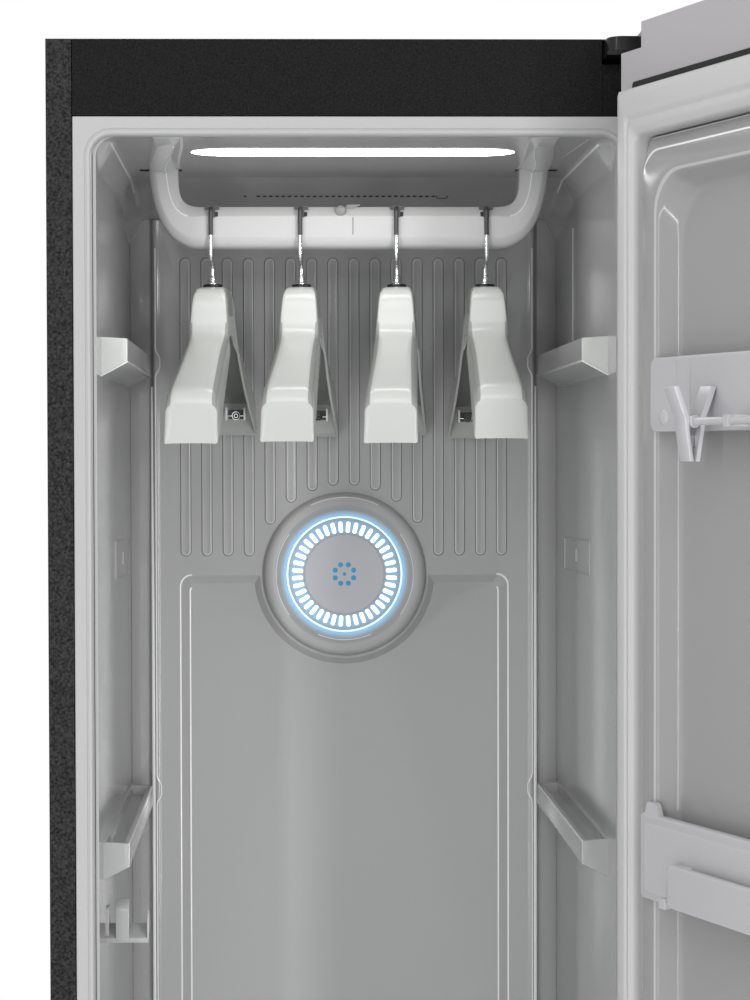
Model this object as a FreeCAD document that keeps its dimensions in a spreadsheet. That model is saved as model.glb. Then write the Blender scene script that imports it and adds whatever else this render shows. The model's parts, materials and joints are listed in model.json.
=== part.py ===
import FreeCAD, Part
import math
import os
from collections import namedtuple

import Sketcher

# A clothes care steam cabinet: a tall insulated case with a moulded cabin, a shaken
# hanger rail with four hangers, a lit round air outlet, two tanks, a small heat pump
# and a door that stands open. Millimetres, +Z up, the front faces -Y, and the origin
# is on the floor in the middle of the case.

SIZES = {
    # outer case
    "width": 600.0,
    "height": 1960.0,
    "depth": 522.0,
    "foot_height": 14.0,
    "foot_radius": 20.0,
    "foot_stud_radius": 5.0,
    "foot_inset": 50.0,
    "sheet": 1.0,
    "flange_width": 24.7,
    "flange_lip": 14.0,
    "rear_lip": 15.0,
    "joint_gap": 0.8,
    "seat_gap": 0.3,
    "pan_lip": 22.0,
    "screw_radius": 1.9,
    "screw_head_radius": 4.5,
    "screw_head_height": 2.2,
    "screw_length": 7.0,
    "screws_per_side": 6,
    "louvre_width": 150.0,
    "louvre_height": 5.0,
    "louvre_pitch": 14.0,
    "louvre_count": 12,
    # front
    "band_height": 74.0,
    "band_depth": 16.0,
    "band_wall": 4.0,
    "hinge_recess_width": 37.0,
    "hinge_recess_depth": 1.5,
    "trim_width": 18.8,
    "trim_depth": 10.0,
    "kick_height": 42.0,
    "corner_radius": 30.0,
    # cabin
    "cabin_depth": 468.0,
    "cabin_wall": 3.0,
    "cabin_inset": 3.5,
    "floor_level": 445.0,
    "floor_thickness": 8.0,
    "ledge_reach": 27.0,
    "ledge_front": 60.0,
    "ledge_rear": 415.0,
    "ledge_face": 27.0,
    "ledge_root": 40.0,
    "ledge_fall": 1.5,
    "ceiling_skirt": 6.0,
    "upper_ledge_drop": 189.2,
    "lower_ledge_drop": 691.2,
    "slope_front": 300.0,
    "duct_stand": 28.0,
    "duct_side": 29.0,
    "duct_flank": 21.0,
    "rib_width": 12.3,
    "rib_height": 1.6,
    "rib_pitch": 24.7,
    "rib_count": 16,
    "rib_top_drop": 46.2,
    "rib_rise": 23.0,
    "panel_side": 37.0,
    "panel_top_drop": 6.0,
    "panel_foot": 55.0,
    "panel_sink": 6.0,
    # round outlet with its lamp
    "outlet_drop": 449.2,
    "outlet_dish_radius": 107.0,
    "bezel_radius": 97.0,
    "bezel_bore": 68.6,
    "bezel_height": 11.0,
    "guide_radius": 68.2,
    "guide_bore": 20.0,
    "guide_thickness": 6.0,
    "cap_radius": 65.4,
    "cap_thickness": 3.0,
    "slot_count": 40,
    "slot_inner_radius": 49.5,
    "slot_length": 12.5,
    "slot_width": 4.6,
    "hole_ring_radius": 11.8,
    "hole_radius": 2.6,
    "hole_count": 8,
    # ceiling lamp
    "lamp_side": 12.0,
    "lamp_taper": 60.0,
    "lamp_depth": 55.0,
    "lamp_front": 77.0,
    "lamp_drop": 2.0,
    "board_thickness": 1.6,
    # hanger rail
    "rail_front": 228.0,
    "rail_thickness": 28.0,
    "rail_side": 39.0,
    "rail_arm_width": 34.0,
    "rail_drop": 84.2,
    "rail_bar_height": 43.0,
    "rail_outer_radius": 44.0,
    "rail_inner_radius": 18.0,
    "rail_stroke": 7.0,
    "rail_slot_width": 8.0,
    "rail_slot_depth": 5.0,
    "rail_tee_width": 17.0,
    "ridge_height": 3.0,
    "ridge_taper": 15.0,
    "shaft_radius": 6.0,
    "shaft_rise": 29.8,
    "running_clearance": 0.05,
    "carriage_size": 26.0,
    "crank_throw": 14.0,
    "crank_pin_radius": 3.0,
    "yoke_clearance": 0.5,
    "motor_radius": 24.0,
    "motor_height": 34.0,
    # hangers
    "hook_side": 32.25,
    "hook_inner_share": 0.350254,
    "wire_radius": 2.5,
    "hook_bend_radius": 5.0,
    "hanger_drop": 83.0,
    "hanger_half_span": 188.0,
    "hanger_height": 172.0,
    "hanger_neck_width": 42.0,
    "hanger_neck_length": 62.0,
    "hanger_neck_height": 64.0,
    "hanger_tip_width": 53.0,
    "hanger_tip_height": 40.0,
    "hanger_wall": 3.0,
    "hanger_web": 9.0,
    "hanger_turn": 4.5,
    # tanks and their bay
    "bay_depth": 232.0,
    "bay_top": 403.0,
    "bay_bottom": 62.0,
    "bay_wall": 4.0,
    "bay_side": 24.0,
    "tank_gap": 2.0,
    "tank_front": 26.0,
    "tank_wall": 3.0,
    "tank_mouth_width": 70.0,
    "tank_mouth_depth": 46.0,
    "handle_length": 130.0,
    "handle_reach": 20.0,
    "handle_bar": 14.0,
    "handle_level": 300.0,
    # lint filter
    "filter_length": 300.0,
    "filter_depth": 88.0,
    "filter_height": 26.0,
    "filter_front": 24.0,
    "filter_rim": 5.0,
    "vent_width": 7.0,
    "vent_length": 90.0,
    "vent_pitch": 15.0,
    "vent_count": 14,
    # machine compartment
    "compressor_radius": 74.0,
    "compressor_height": 190.0,
    "coil_width": 240.0,
    "coil_height": 180.0,
    "coil_depth": 34.0,
    "fin_gap": 9.0,
    "fin_pitch": 15.0,
    "boiler_width": 120.0,
    "boiler_depth": 84.0,
    "boiler_height": 92.0,
    "blower_radius": 76.0,
    "blower_width": 74.0,
    "blower_wall": 2.5,
    "blower_level": 345.0,
    "blower_front": 262.0,
    "wheel_radius": 58.0,
    "wheel_blades": 24,
    "spindle_radius": 4.0,
    # door
    "door_open": 114.0,
    "door_gap": 23.6,
    "door_thickness": 51.4,
    "door_bottom": 44.0,
    "door_wall": 1.0,
    "glass_thickness": 4.0,
    "hinge_inset": 17.0,
    "hinge_forward": 54.5,
    "hinge_pin_radius": 5.0,
    "hinge_plate": 4.0,
    "notch_height": 24.0,
    "notch_width": 33.3,
    "bushing_radius": 8.0,
    "bushing_height": 14.0,
    "gasket_outer_inset": 22.0,
    "gasket_width": 30.0,
    "gasket_top_inset": 64.0,
    "gasket_top_width": 46.0,
    "gasket_foot": 6.0,
    "liner_thickness": 3.6,
    "dyke_flank": 19.0,
    "dyke_crest": 20.0,
    "dyke_height": 23.6,
    "well_rise": 5.0,
    "well_flank": 13.0,
    "grip_length": 420.0,
    "grip_level": 860.0,
    "grip_depth": 22.0,
    "grip_width": 26.0,
    # trouser clips and the press bar on the door
    "holder_bearing": 2.0,
    "holder_drop": 205.0,
    "holder_height": 67.0,
    "holder_thickness": 6.0,
    "rod_radius": 3.5,
    "rod_drop": 59.0,
    "rod_stand": 28.0,
    "clip_spacing": 232.0,
    "clip_width": 20.0,
    "jaw_top": 30.0,
    "jaw_bottom": 34.0,
    "jaw_reach": 21.0,
    "jaw_thickness": 4.0,
    "rack_bearing": 16.0,
    "rack_drop": 490.0,
    "rack_height": 78.0,
    "rack_thickness": 6.0,
    "bar_side": 61.0,
    "bar_height": 42.0,
    "bar_slot": 8.0,
    "bar_thickness": 5.0,
    "bar_cheek": 22.0,
    "bar_cheek_rise": 8.0,
    "bar_lift": 3.0,
    "bar_pin_length": 7.5,
    # accessory hook on the left wall
    "peg_drop": 114.0,
    "peg_front": 90.0,
    "peg_width": 46.0,
    "peg_height": 40.0,
    "peg_thickness": 4.0,
}

doc = FreeCAD.newDocument("SteamCabinet")
sheet = doc.addObject("Spreadsheet::Sheet", "Sizes")
for row, (alias, number) in enumerate(SIZES.items(), start=1):
    sheet.set("A%d" % row, alias)
    sheet.set("B%d" % row, str(number))
    sheet.setAlias("B%d" % row, alias)
doc.recompute()


class Size:
    """A value worked out from the sheet: the expression that gives it, and what it gives now."""

    def __init__(self, text, value):
        self.text = text
        self.value = value

    def __add__(self, other):
        return Size("(%s + %s)" % (self.text, as_size(other).text), self.value + as_size(other).value)

    def __radd__(self, other):
        return as_size(other) + self

    def __sub__(self, other):
        return Size("(%s - %s)" % (self.text, as_size(other).text), self.value - as_size(other).value)

    def __rsub__(self, other):
        return as_size(other) - self

    def __mul__(self, other):
        return Size("(%s * %s)" % (self.text, as_size(other).text), self.value * as_size(other).value)

    def __rmul__(self, other):
        return as_size(other) * self

    def __truediv__(self, other):
        return Size("(%s / %s)" % (self.text, as_size(other).text), self.value / as_size(other).value)

    def __neg__(self):
        return Size("(0 - %s)" % self.text, -self.value)


def as_size(number):
    """A plain number as a Size, and a Size as it is."""
    return number if isinstance(number, Size) else Size(repr(float(number)), float(number))


class Sheet:
    """The sheet's cells by their aliases."""

    def __getattr__(self, alias):
        return Size("Sizes." + alias, float(sheet.get(alias)))


size = Sheet()
Circle = namedtuple("Circle", "across up radius")
PLANES = {"top": "XY_Plane", "front": "XZ_Plane", "side": "YZ_Plane"}
AXES = {"x": "X_Axis", "y": "Y_Axis", "z": "Z_Axis"}
TURNS = {
    "x": FreeCAD.Rotation(FreeCAD.Vector(0, 1, 0), 90),
    "y": FreeCAD.Rotation(FreeCAD.Vector(1, 0, 0), -90),
    "z": FreeCAD.Rotation(),
}
pieces = []


# ---------------------------------------------------------------- building helpers


def bind(thing, path, amount):
    """Tie one property of an object to an expression on the sheet."""
    thing.setExpression(path, as_size(amount).text)


def place(thing, at, turn=0):
    """Put an object at a point, turned about the vertical by an angle from the sheet."""
    for axis, amount in zip("xyz", at):
        bind(thing, "Placement.Base." + axis, amount)
    if isinstance(turn, Size):
        thing.Placement.Rotation = FreeCAD.Rotation(FreeCAD.Vector(0, 0, 1), turn.value)
        bind(thing, "Placement.Rotation.Angle", turn)


def keep(label, thing, at=None, turn=0):
    """Name a finished sub-part, list it for the files and, where at is given, place it."""
    thing.Label = label
    if at:
        place(thing, at, turn)
    pieces.append(thing)
    return thing


def new_body(name):
    return doc.addObject("PartDesign::Body", name)


def origin_feature(body, role):
    return next(item for item in body.Origin.OriginFeatures if item.Role == role)


def hold_point(sketch, geometry, end, across, up):
    """Hold a point of a sketch by its two distances from the sketch's origin."""
    for kind, amount in (("DistanceX", across), ("DistanceY", up)):
        number = sketch.addConstraint(
            Sketcher.Constraint(kind, -1, 1, geometry, end, as_size(amount).value)
        )
        bind(sketch, "Constraints[%d]" % number, amount)


def draw(body, name, plane, loops, start=0):
    """A sketch on one of the body's origin planes, moved to start: straight loops and circles."""
    sketch = body.newObject("Sketcher::SketchObject", name)
    sketch.AttachmentSupport = (origin_feature(body, PLANES[plane]), [""])
    sketch.MapMode = "FlatFace"
    outward = -as_size(start) if plane == "front" else as_size(start)
    bind(sketch, "AttachmentOffset.Base.z", outward)
    for loop in loops:
        if isinstance(loop, Circle):
            centre = FreeCAD.Vector(as_size(loop.across).value, as_size(loop.up).value, 0)
            ring = Part.Circle(centre, FreeCAD.Vector(0, 0, 1), as_size(loop.radius).value)
            geometry = sketch.addGeometry(ring, False)
            hold_point(sketch, geometry, 3, loop.across, loop.up)
            radius = Sketcher.Constraint("Radius", geometry, as_size(loop.radius).value)
            bind(sketch, "Constraints[%d]" % sketch.addConstraint(radius), loop.radius)
            continue
        corners = [FreeCAD.Vector(as_size(a).value, as_size(b).value, 0) for a, b in loop]
        lines = [
            sketch.addGeometry(Part.LineSegment(corner, corners[(i + 1) % len(corners)]), False)
            for i, corner in enumerate(corners)
        ]
        for i, line in enumerate(lines):
            follower = lines[(i + 1) % len(lines)]
            sketch.addConstraint(Sketcher.Constraint("Coincident", line, 2, follower, 1))
            hold_point(sketch, line, 1, *loop[i])
    return sketch


def slab(body, name, plane, loops, start, length, cut=False):
    """An outline carried length along its plane's axis from start: stock, or a hole when cut."""
    sketch = draw(body, name + "_outline", plane, loops, start)
    before = body.Shape.Volume if cut else 0
    feature = body.newObject("PartDesign::Pocket" if cut else "PartDesign::Pad", name)
    feature.Profile = sketch
    bind(feature, "Length", length)
    feature.Reversed = (plane == "front") != cut
    doc.recompute()
    if cut and not body.Shape.Volume < before:
        raise RuntimeError("%s cuts nothing" % name)
    return feature


def spin(body, name, loops, cut=False):
    """A profile in the front plane turned once about the body's vertical axis."""
    sketch = draw(body, name + "_profile", "front", loops)
    feature = body.newObject("PartDesign::Groove" if cut else "PartDesign::Revolution", name)
    feature.Profile = sketch
    feature.ReferenceAxis = (origin_feature(body, "Z_Axis"), [""])
    feature.Angle = 360
    doc.recompute()
    return feature


def repeat_in_line(body, feature, axis, pitch, count):
    """Copies of a feature at an even pitch along one of the body's axes."""
    pattern = body.newObject("PartDesign::LinearPattern", feature.Name + "_row")
    pattern.Originals = [feature]
    pattern.Direction = (origin_feature(body, AXES[axis]), [""])
    bind(pattern, "Length", pitch * (count - 1))
    bind(pattern, "Occurrences", count)
    body.Tip = pattern
    doc.recompute()


def repeat_round(body, feature, axis, count):
    """Copies of a feature evenly round one of the body's axes."""
    pattern = body.newObject("PartDesign::PolarPattern", feature.Name + "_ring")
    pattern.Originals = [feature]
    pattern.Axis = (origin_feature(body, AXES[axis]), [""])
    pattern.Angle = 360
    bind(pattern, "Occurrences", count)
    body.Tip = pattern
    doc.recompute()


def round_edges(body, name, radius, chosen):
    """Fillet the edges of the body so far for which chosen(middle, direction) is true."""
    base = body.Tip
    names = []
    for number, edge in enumerate(base.Shape.Edges, start=1):
        if edge.Curve.TypeId != "Part::GeomLine":
            continue
        direction = (edge.Vertexes[-1].Point - edge.Vertexes[0].Point).normalize()
        if chosen(edge.CenterOfMass, direction):
            names.append("Edge%d" % number)
    fillet = body.newObject("PartDesign::Fillet", name)
    fillet.Base = (base, names)
    bind(fillet, "Radius", radius)
    doc.recompute()
    return fillet


def rectangle(left, right, low, high):
    """The four corners of a rectangle."""
    return [(left, low), (right, low), (right, high), (left, high)]


def mirrored(loop):
    """A loop on the other side of the middle."""
    return [(-across, up) for across, up in loop]


def box(name, corner, extent):
    """A rectangular block from its lowest corner."""
    block = doc.addObject("Part::Box", name)
    for side, amount in zip(("Length", "Width", "Height"), extent):
        bind(block, side, amount)
    place(block, corner)
    return block


def rod(name, start, radius, length, axis="z"):
    """A round bar from its start along an axis."""
    bar = doc.addObject("Part::Cylinder", name)
    bind(bar, "Radius", radius)
    bind(bar, "Height", length)
    bar.Placement = FreeCAD.Placement(FreeCAD.Vector(), TURNS[axis])
    place(bar, start)
    return bar


def cut(name, stock, tools):
    """Stock less its tools."""
    for number, tool in enumerate(tools):
        step = doc.addObject("Part::Cut", "%s_cut%d" % (name, number))
        step.Base = stock
        step.Tool = tool
        stock = step
    return stock


def fuse(name, parts):
    joined = doc.addObject("Part::MultiFuse", name)
    joined.Shapes = parts
    joined.Refine = True
    return joined


def group(name, parts):
    """Separate solids of one kind in one node."""
    together = doc.addObject("Part::Compound", name)
    together.Links = parts
    return together


# ---------------------------------------------------------------- shared places

half = size.width / 2
front = -size.depth / 2
back = size.depth / 2
roof = size.height - size.sheet
inside_back = back - size.sheet
bay_edge = half - size.flange_width - size.joint_gap
opening_half = bay_edge - size.trim_width + size.joint_gap
trim_top = size.height - size.band_height
opening_top = trim_top - size.trim_width
cabin_half = opening_half - size.cabin_inset
ceiling = opening_top
liner_top = ceiling + size.cabin_wall
rear_wall = front + size.cabin_depth
duct_front = rear_wall - size.duct_stand
floor_under = size.floor_level - size.floor_thickness
pan_floor = size.foot_height + size.sheet
ceiling_low = ceiling - size.corner_radius - size.ceiling_skirt
upper_ledge = ceiling - size.upper_ledge_drop
lower_ledge = ceiling - size.lower_ledge_drop
peg_low = lower_ledge - size.peg_drop
duct_half = cabin_half - size.duct_side
duct_high = ceiling - size.corner_radius
outlet_level = ceiling - size.outlet_drop
rib_high = duct_high - size.rib_top_drop
rib_low = outlet_level + size.rib_rise
panel_half = duct_half - size.panel_side
panel_high = outlet_level - size.panel_top_drop
panel_low = size.floor_level + size.panel_foot
rail_middle = front + size.rail_front + size.rail_thickness / 2
rail_half = cabin_half - size.rail_side
rail_low = ceiling - size.rail_drop
rail_top = rail_low + size.rail_bar_height
shaft_level = liner_top + size.shaft_rise
lamp_half = rail_half - size.rail_arm_width - size.lamp_side
hinge_x = half - size.hinge_inset
hinge_y = front - size.hinge_forward
hook_outer = rail_half - size.rail_arm_width - size.hook_side
hook_inner = hook_outer * size.hook_inner_share
hook_places = [-hook_outer, -hook_inner, hook_inner, hook_outer]


# ---------------------------------------------------------------- outer case


def side_panel(label, side):
    """A folded steel side: front flange with its lip, outer wall and rear lip."""
    outer = half
    inner = half - size.sheet
    flange = half - size.flange_width
    profile = [
        (outer, front),
        (outer, back),
        (inner, back),
        (inner, inside_back),
        (half - size.rear_lip, inside_back),
        (half - size.rear_lip, inside_back - size.sheet),
        (inner, inside_back - size.sheet),
        (inner, front + size.sheet),
        (flange + size.sheet, front + size.sheet),
        (flange + size.sheet, front + size.flange_lip),
        (flange, front + size.flange_lip),
        (flange, front),
    ]
    body = new_body(label)
    loop = profile if side > 0 else mirrored(profile)
    slab(body, label + "_sheet", "top", [loop], size.foot_height, roof - size.foot_height)
    if side > 0:
        gap = rectangle(flange - size.sheet, inner - size.sheet, front - size.sheet,
                        front + size.flange_lip + size.sheet)
        plate_low = size.height - size.notch_height
        slab(body, "hinge_gap", "top", [gap], plate_low, size.notch_height, cut=True)
        low_gap = size.door_bottom - size.notch_height
        slab(body, "low_hinge_gap", "top", [gap], low_gap, size.notch_height, cut=True)
    bore = size.screw_radius + size.seat_gap / 2
    screw_x = side * (half - size.rear_lip / 2)
    hole = slab(body, label + "_hole", "front", [Circle(screw_x, screw_low, bore)],
                inside_back - 2 * size.sheet, 2 * size.sheet, cut=True)
    repeat_in_line(body, hole, "z", screw_pitch, size.screws_per_side)
    return keep(label, body)


screw_low = size.foot_height + 60
screw_pitch = (roof - screw_low - 60) / (size.screws_per_side - 1)
side_panel("side_panel_left", -1)
side_panel("side_panel_right", 1)

top_plate = box("top_plate", (-half, front, roof), (size.width, size.depth, size.sheet))
lip_x = half - 2 * size.sheet - size.seat_gap
lip_y = front + size.flange_lip + 2
lip_height = size.flange_lip
top_lips = [
    box("top_lip_%s" % name, (x, lip_y, roof - lip_height),
        (size.sheet, inside_back - 2 * size.sheet - lip_y, lip_height))
    for name, x in (("left", -lip_x), ("right", lip_x - size.sheet))
]
keep("top_panel", fuse("top_panel", [top_plate] + top_lips))

back_body = new_body("back_panel")
back_half = half - size.sheet - size.seat_gap
slab(back_body, "back_sheet", "front",
     [rectangle(-back_half, back_half, size.foot_height, roof)], inside_back, size.sheet)
louvre_low = size.foot_height + 90
louvre = slab(back_body, "louvre", "front",
              [rectangle(0, size.louvre_width, louvre_low, louvre_low + size.louvre_height)],
              inside_back - 1, size.sheet + 2, cut=True)
repeat_in_line(back_body, louvre, "z", size.louvre_pitch, size.louvre_count)
inlet_x = -half + 110
inlet_z = size.foot_height + 110
inlet_half = (14.0, 11.0)
slab(back_body, "inlet_cutout", "front",
     [rectangle(inlet_x - inlet_half[0], inlet_x + inlet_half[0],
                inlet_z - inlet_half[1], inlet_z + inlet_half[1])],
     inside_back - 1, size.sheet + 2, cut=True)
for name, side in (("left", -1), ("right", 1)):
    screw_x = side * (half - size.rear_lip / 2)
    hole = slab(back_body, "screw_hole_" + name, "front",
                [Circle(screw_x, screw_low, size.screw_radius + size.seat_gap / 2)],
                inside_back - 1, size.sheet + 2, cut=True)
    repeat_in_line(back_body, hole, "z", screw_pitch, size.screws_per_side)
keep("back_panel", back_body)

screws = []
for name, side in (("left", -1), ("right", 1)):
    for number in range(int(size.screws_per_side.value)):
        place_x = side * (half - size.rear_lip / 2)
        place_z = screw_low + screw_pitch * number
        tag = "screw_%s_%d" % (name, number)
        head = rod(tag + "_head", (place_x, back, place_z), size.screw_head_radius,
                   size.screw_head_height, "y")
        shank = rod(tag + "_shank", (place_x, back - size.screw_length, place_z),
                    size.screw_radius, size.screw_length, "y")
        screws.append(fuse(tag, [head, shank]))
keep("cover_screws", group("cover_screws", screws))

pan_half = half - size.sheet - size.seat_gap
pan_front = front + size.flange_lip + 2
pan_back = inside_back - size.sheet - size.seat_gap
pan_outer = box("pan_outer", (-pan_half, pan_front, size.foot_height),
                (2 * pan_half, pan_back - pan_front, size.pan_lip))
pan_inner = box("pan_inner", (-pan_half + size.sheet, pan_front + size.sheet, pan_floor),
                (2 * (pan_half - size.sheet), pan_back - pan_front - 2 * size.sheet, size.pan_lip))
foot_x = half - 70
front_foot_y = front + size.foot_inset
rear_foot_y = back - size.foot_inset
stud_bore = size.foot_stud_radius + size.running_clearance
pan_bores = [
    rod("pan_bore_%s" % name, (x, front_foot_y, 0), stud_bore, size.foot_height + size.pan_lip)
    for name, x in (("left", -foot_x), ("right", foot_x))
]
keep("base_pan", cut("base_pan", pan_outer, [pan_inner] + pan_bores))

keep("rear_feet", group("rear_feet", [
    rod("rear_foot_%s" % name, (x, rear_foot_y, 0), size.foot_radius, size.foot_height)
    for name, x in (("left", -foot_x), ("right", foot_x))
]))


def front_foot(label, x):
    """A levelling foot: a wide disc on a threaded stud, turned by hand."""
    body = new_body(label)
    rim = size.foot_radius
    disc_top = size.foot_height - size.seat_gap
    profile = [
        (0, 0),
        (rim - 1.5, 0),
        (rim, 1.5),
        (rim, disc_top - 5),
        (rim - 6, disc_top),
        (size.foot_stud_radius, disc_top),
        (size.foot_stud_radius, size.foot_height + 20),
        (0, size.foot_height + 20),
    ]
    spin(body, label + "_turned", [profile])
    return keep(label, body, (x, front_foot_y, 0))


front_foot("front_foot_left", -foot_x)
front_foot("front_foot_right", foot_x)


# ---------------------------------------------------------------- front band and trim

band = new_body("front_band")
band_low = trim_top + size.joint_gap / 2
slab(band, "band_stock", "front", [rectangle(-bay_edge, bay_edge, band_low, roof - size.seat_gap)],
     front, size.band_depth)
slab(band, "band_hollow", "front",
     [rectangle(-bay_edge + size.band_wall, bay_edge - size.band_wall,
                band_low + size.band_wall, roof - size.seat_gap - size.band_wall)],
     front + size.band_wall, size.band_depth, cut=True)
recess_left = bay_edge - size.hinge_recess_width
slab(band, "hinge_recess", "front",
     [rectangle(recess_left, bay_edge + 1, band_low - 1, roof)],
     front - 1, 1 + size.hinge_recess_depth, cut=True)
slab(band, "hinge_slot", "front",
     [rectangle(recess_left, bay_edge + 1, size.height - size.notch_height, roof)],
     front - 1, size.band_depth + 2, cut=True)
keep("front_band", band)

trim = new_body("opening_trim")
bay_low = size.bay_bottom + size.bay_wall
slab(trim, "trim_stock", "front", [rectangle(-bay_edge, bay_edge, size.kick_height,
                                             trim_top - size.joint_gap / 2)],
     front, size.trim_depth)
slab(trim, "cabin_mouth", "front",
     [rectangle(-opening_half, opening_half, size.floor_level - size.floor_thickness, opening_top)],
     front - 1, size.trim_depth + 2, cut=True)
mouth_half = opening_half - size.bay_side
slab(trim, "bay_mouth", "front",
     [rectangle(-mouth_half, mouth_half, bay_low, size.bay_top - size.bay_wall)],
     front - 1, size.trim_depth + 2, cut=True)
round_edges(trim, "mouth_corners", size.corner_radius,
            lambda at, way: abs(way.y) > 0.9 and at.z > opening_top.value - 1
            and abs(at.x) < opening_half.value + 1)
keep("opening_trim", trim)


# ---------------------------------------------------------------- cabin

liner = new_body("liner")
liner_front = front + size.trim_depth
liner_back = rear_wall + size.cabin_wall
outer_half = cabin_half + size.cabin_wall
slab(liner, "liner_walls", "top",
     [[(-outer_half, liner_front), (-cabin_half, liner_front), (-cabin_half, rear_wall),
       (cabin_half, rear_wall), (cabin_half, liner_front), (outer_half, liner_front),
       (outer_half, liner_back), (-outer_half, liner_back)]],
     floor_under, ceiling_low - floor_under)


def ledge(level):
    """The two moulded supports at one level, wider at the wall than at their face."""
    wall = cabin_half + size.cabin_wall / 2
    face = cabin_half - size.ledge_reach
    face_high = level - size.ledge_fall
    right = [
        (wall, level),
        (face, face_high),
        (face, face_high - size.ledge_face),
        (wall, level - size.ledge_root),
    ]
    return [right, mirrored(right)]


for name, level in (("upper", upper_ledge), ("lower", lower_ledge)):
    slab(liner, name + "_ledges", "front", ledge(level), front + size.ledge_front,
         size.ledge_rear - size.ledge_front)
keep("liner", liner)

roof_liner = new_body("ceiling")
arch = [
    (-outer_half, ceiling_low),
    (-outer_half, liner_top),
    (outer_half, liner_top),
    (outer_half, ceiling_low),
    (cabin_half, ceiling_low),
    (cabin_half, ceiling),
    (-cabin_half, ceiling),
    (-cabin_half, ceiling_low),
]
slab(roof_liner, "ceiling_arch", "front", [arch], liner_front, rear_wall - liner_front)
round_edges(roof_liner, "cabin_corners", size.corner_radius,
            lambda at, way: abs(way.y) > 0.9 and abs(at.z - ceiling.value) < 1)
slab(roof_liner, "ceiling_rear", "front",
     [rectangle(-outer_half, outer_half, ceiling_low, liner_top)], rear_wall, size.cabin_wall)
slope_half = cabin_half + size.cabin_wall / 2
slope_high = ceiling + size.cabin_wall / 2
slope = [
    (front + size.slope_front, slope_high),
    (front + size.slope_front, ceiling),
    (duct_front, duct_high),
    (rear_wall + size.cabin_wall / 2, duct_high),
    (rear_wall + size.cabin_wall / 2, slope_high),
]
slab(roof_liner, "rear_slope", "side", [slope], -slope_half, 2 * slope_half)
lamp_middle = front + size.lamp_front + size.lamp_depth / 2


def lamp_outline(margin):
    """The long lamp's plan: straight sides that taper to a point at each end."""
    length = lamp_half + margin
    shoulder = lamp_half - size.lamp_taper
    reach = size.lamp_depth / 2 + margin
    return [
        (-length, lamp_middle),
        (-shoulder, lamp_middle - reach),
        (shoulder, lamp_middle - reach),
        (length, lamp_middle),
        (shoulder, lamp_middle + reach),
        (-shoulder, lamp_middle + reach),
    ]


ridge_front = liner_front + size.seat_gap
ridge_rear = front + size.rail_front - size.seat_gap
ridge_low = ceiling - size.ridge_height
for name, side in (("left", -1), ("right", 1)):
    outer = side * rail_half
    inner = side * (rail_half - size.rail_arm_width)
    taper = side * size.ridge_taper
    slab(roof_liner, "ridge_" + name, "top",
         [[(outer - taper, ridge_front), (outer, ridge_rear), (inner, ridge_rear),
           (inner - taper / 2, ridge_front)]],
         ridge_low, size.ridge_height + size.cabin_wall / 2)
slab(roof_liner, "lamp_window", "top", [lamp_outline(0)], ceiling - 1, size.cabin_wall + 2, cut=True)
arm_middle = rail_half - size.rail_arm_width / 2
arm_room = size.rail_stroke + 2
for name, side in (("left", -1), ("right", 1)):
    middle = side * arm_middle
    reach = size.rail_arm_width / 2 + arm_room
    slab(roof_liner, "arm_slot_" + name, "top",
         [rectangle(middle - reach, middle + reach, front + size.rail_front - 2,
                    front + size.rail_front + size.rail_thickness + 2)],
         ridge_low - 1, size.ridge_height + size.cabin_wall + 2, cut=True)
keep("ceiling", roof_liner)

duct = new_body("duct_cover")
duct_back = rear_wall - size.seat_gap
duct_edge = duct_half + size.duct_flank
duct_low = size.floor_level + size.seat_gap
slab(duct, "duct_stock", "top",
     [[(-duct_edge, duct_back), (-duct_half, duct_front),
       (duct_half, duct_front), (duct_edge, duct_back)]],
     duct_low, duct_high - duct_low)
wall_inner = duct_front + size.panel_sink + size.cabin_wall
slab(duct, "duct_hollow", "top",
     [rectangle(-duct_half + size.cabin_wall, duct_half - size.cabin_wall,
                wall_inner, duct_back + 1)],
     duct_low + size.cabin_wall, duct_high - duct_low - 2 * size.cabin_wall, cut=True)
slab(duct, "sunk_panel", "front",
     [rectangle(-panel_half, panel_half, panel_low, panel_high)],
     duct_front - 1, 1 + size.panel_sink, cut=True)
outlet = Circle(0, outlet_level, size.outlet_dish_radius)
slab(duct, "outlet_dish", "front", [outlet], duct_front, size.panel_sink + size.cabin_wall)
rib_left = -size.rib_pitch * (size.rib_count - 1) / 2 - size.rib_width / 2
rib = slab(duct, "rib", "front",
           [rectangle(rib_left, rib_left + size.rib_width, rib_low, rib_high)],
           duct_front - size.rib_height, size.rib_height + 0.5)
repeat_in_line(duct, rib, "x", size.rib_pitch, size.rib_count)
slab(duct, "rib_end_circle", "front", [outlet], duct_front - size.rib_height - 1,
     size.rib_height + 1, cut=True)
slab(duct, "outlet_bore", "front",
     [Circle(0, outlet_level, size.guide_radius + size.seat_gap)],
     duct_front - 1, size.duct_stand, cut=True)
keep("duct_cover", duct)

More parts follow.
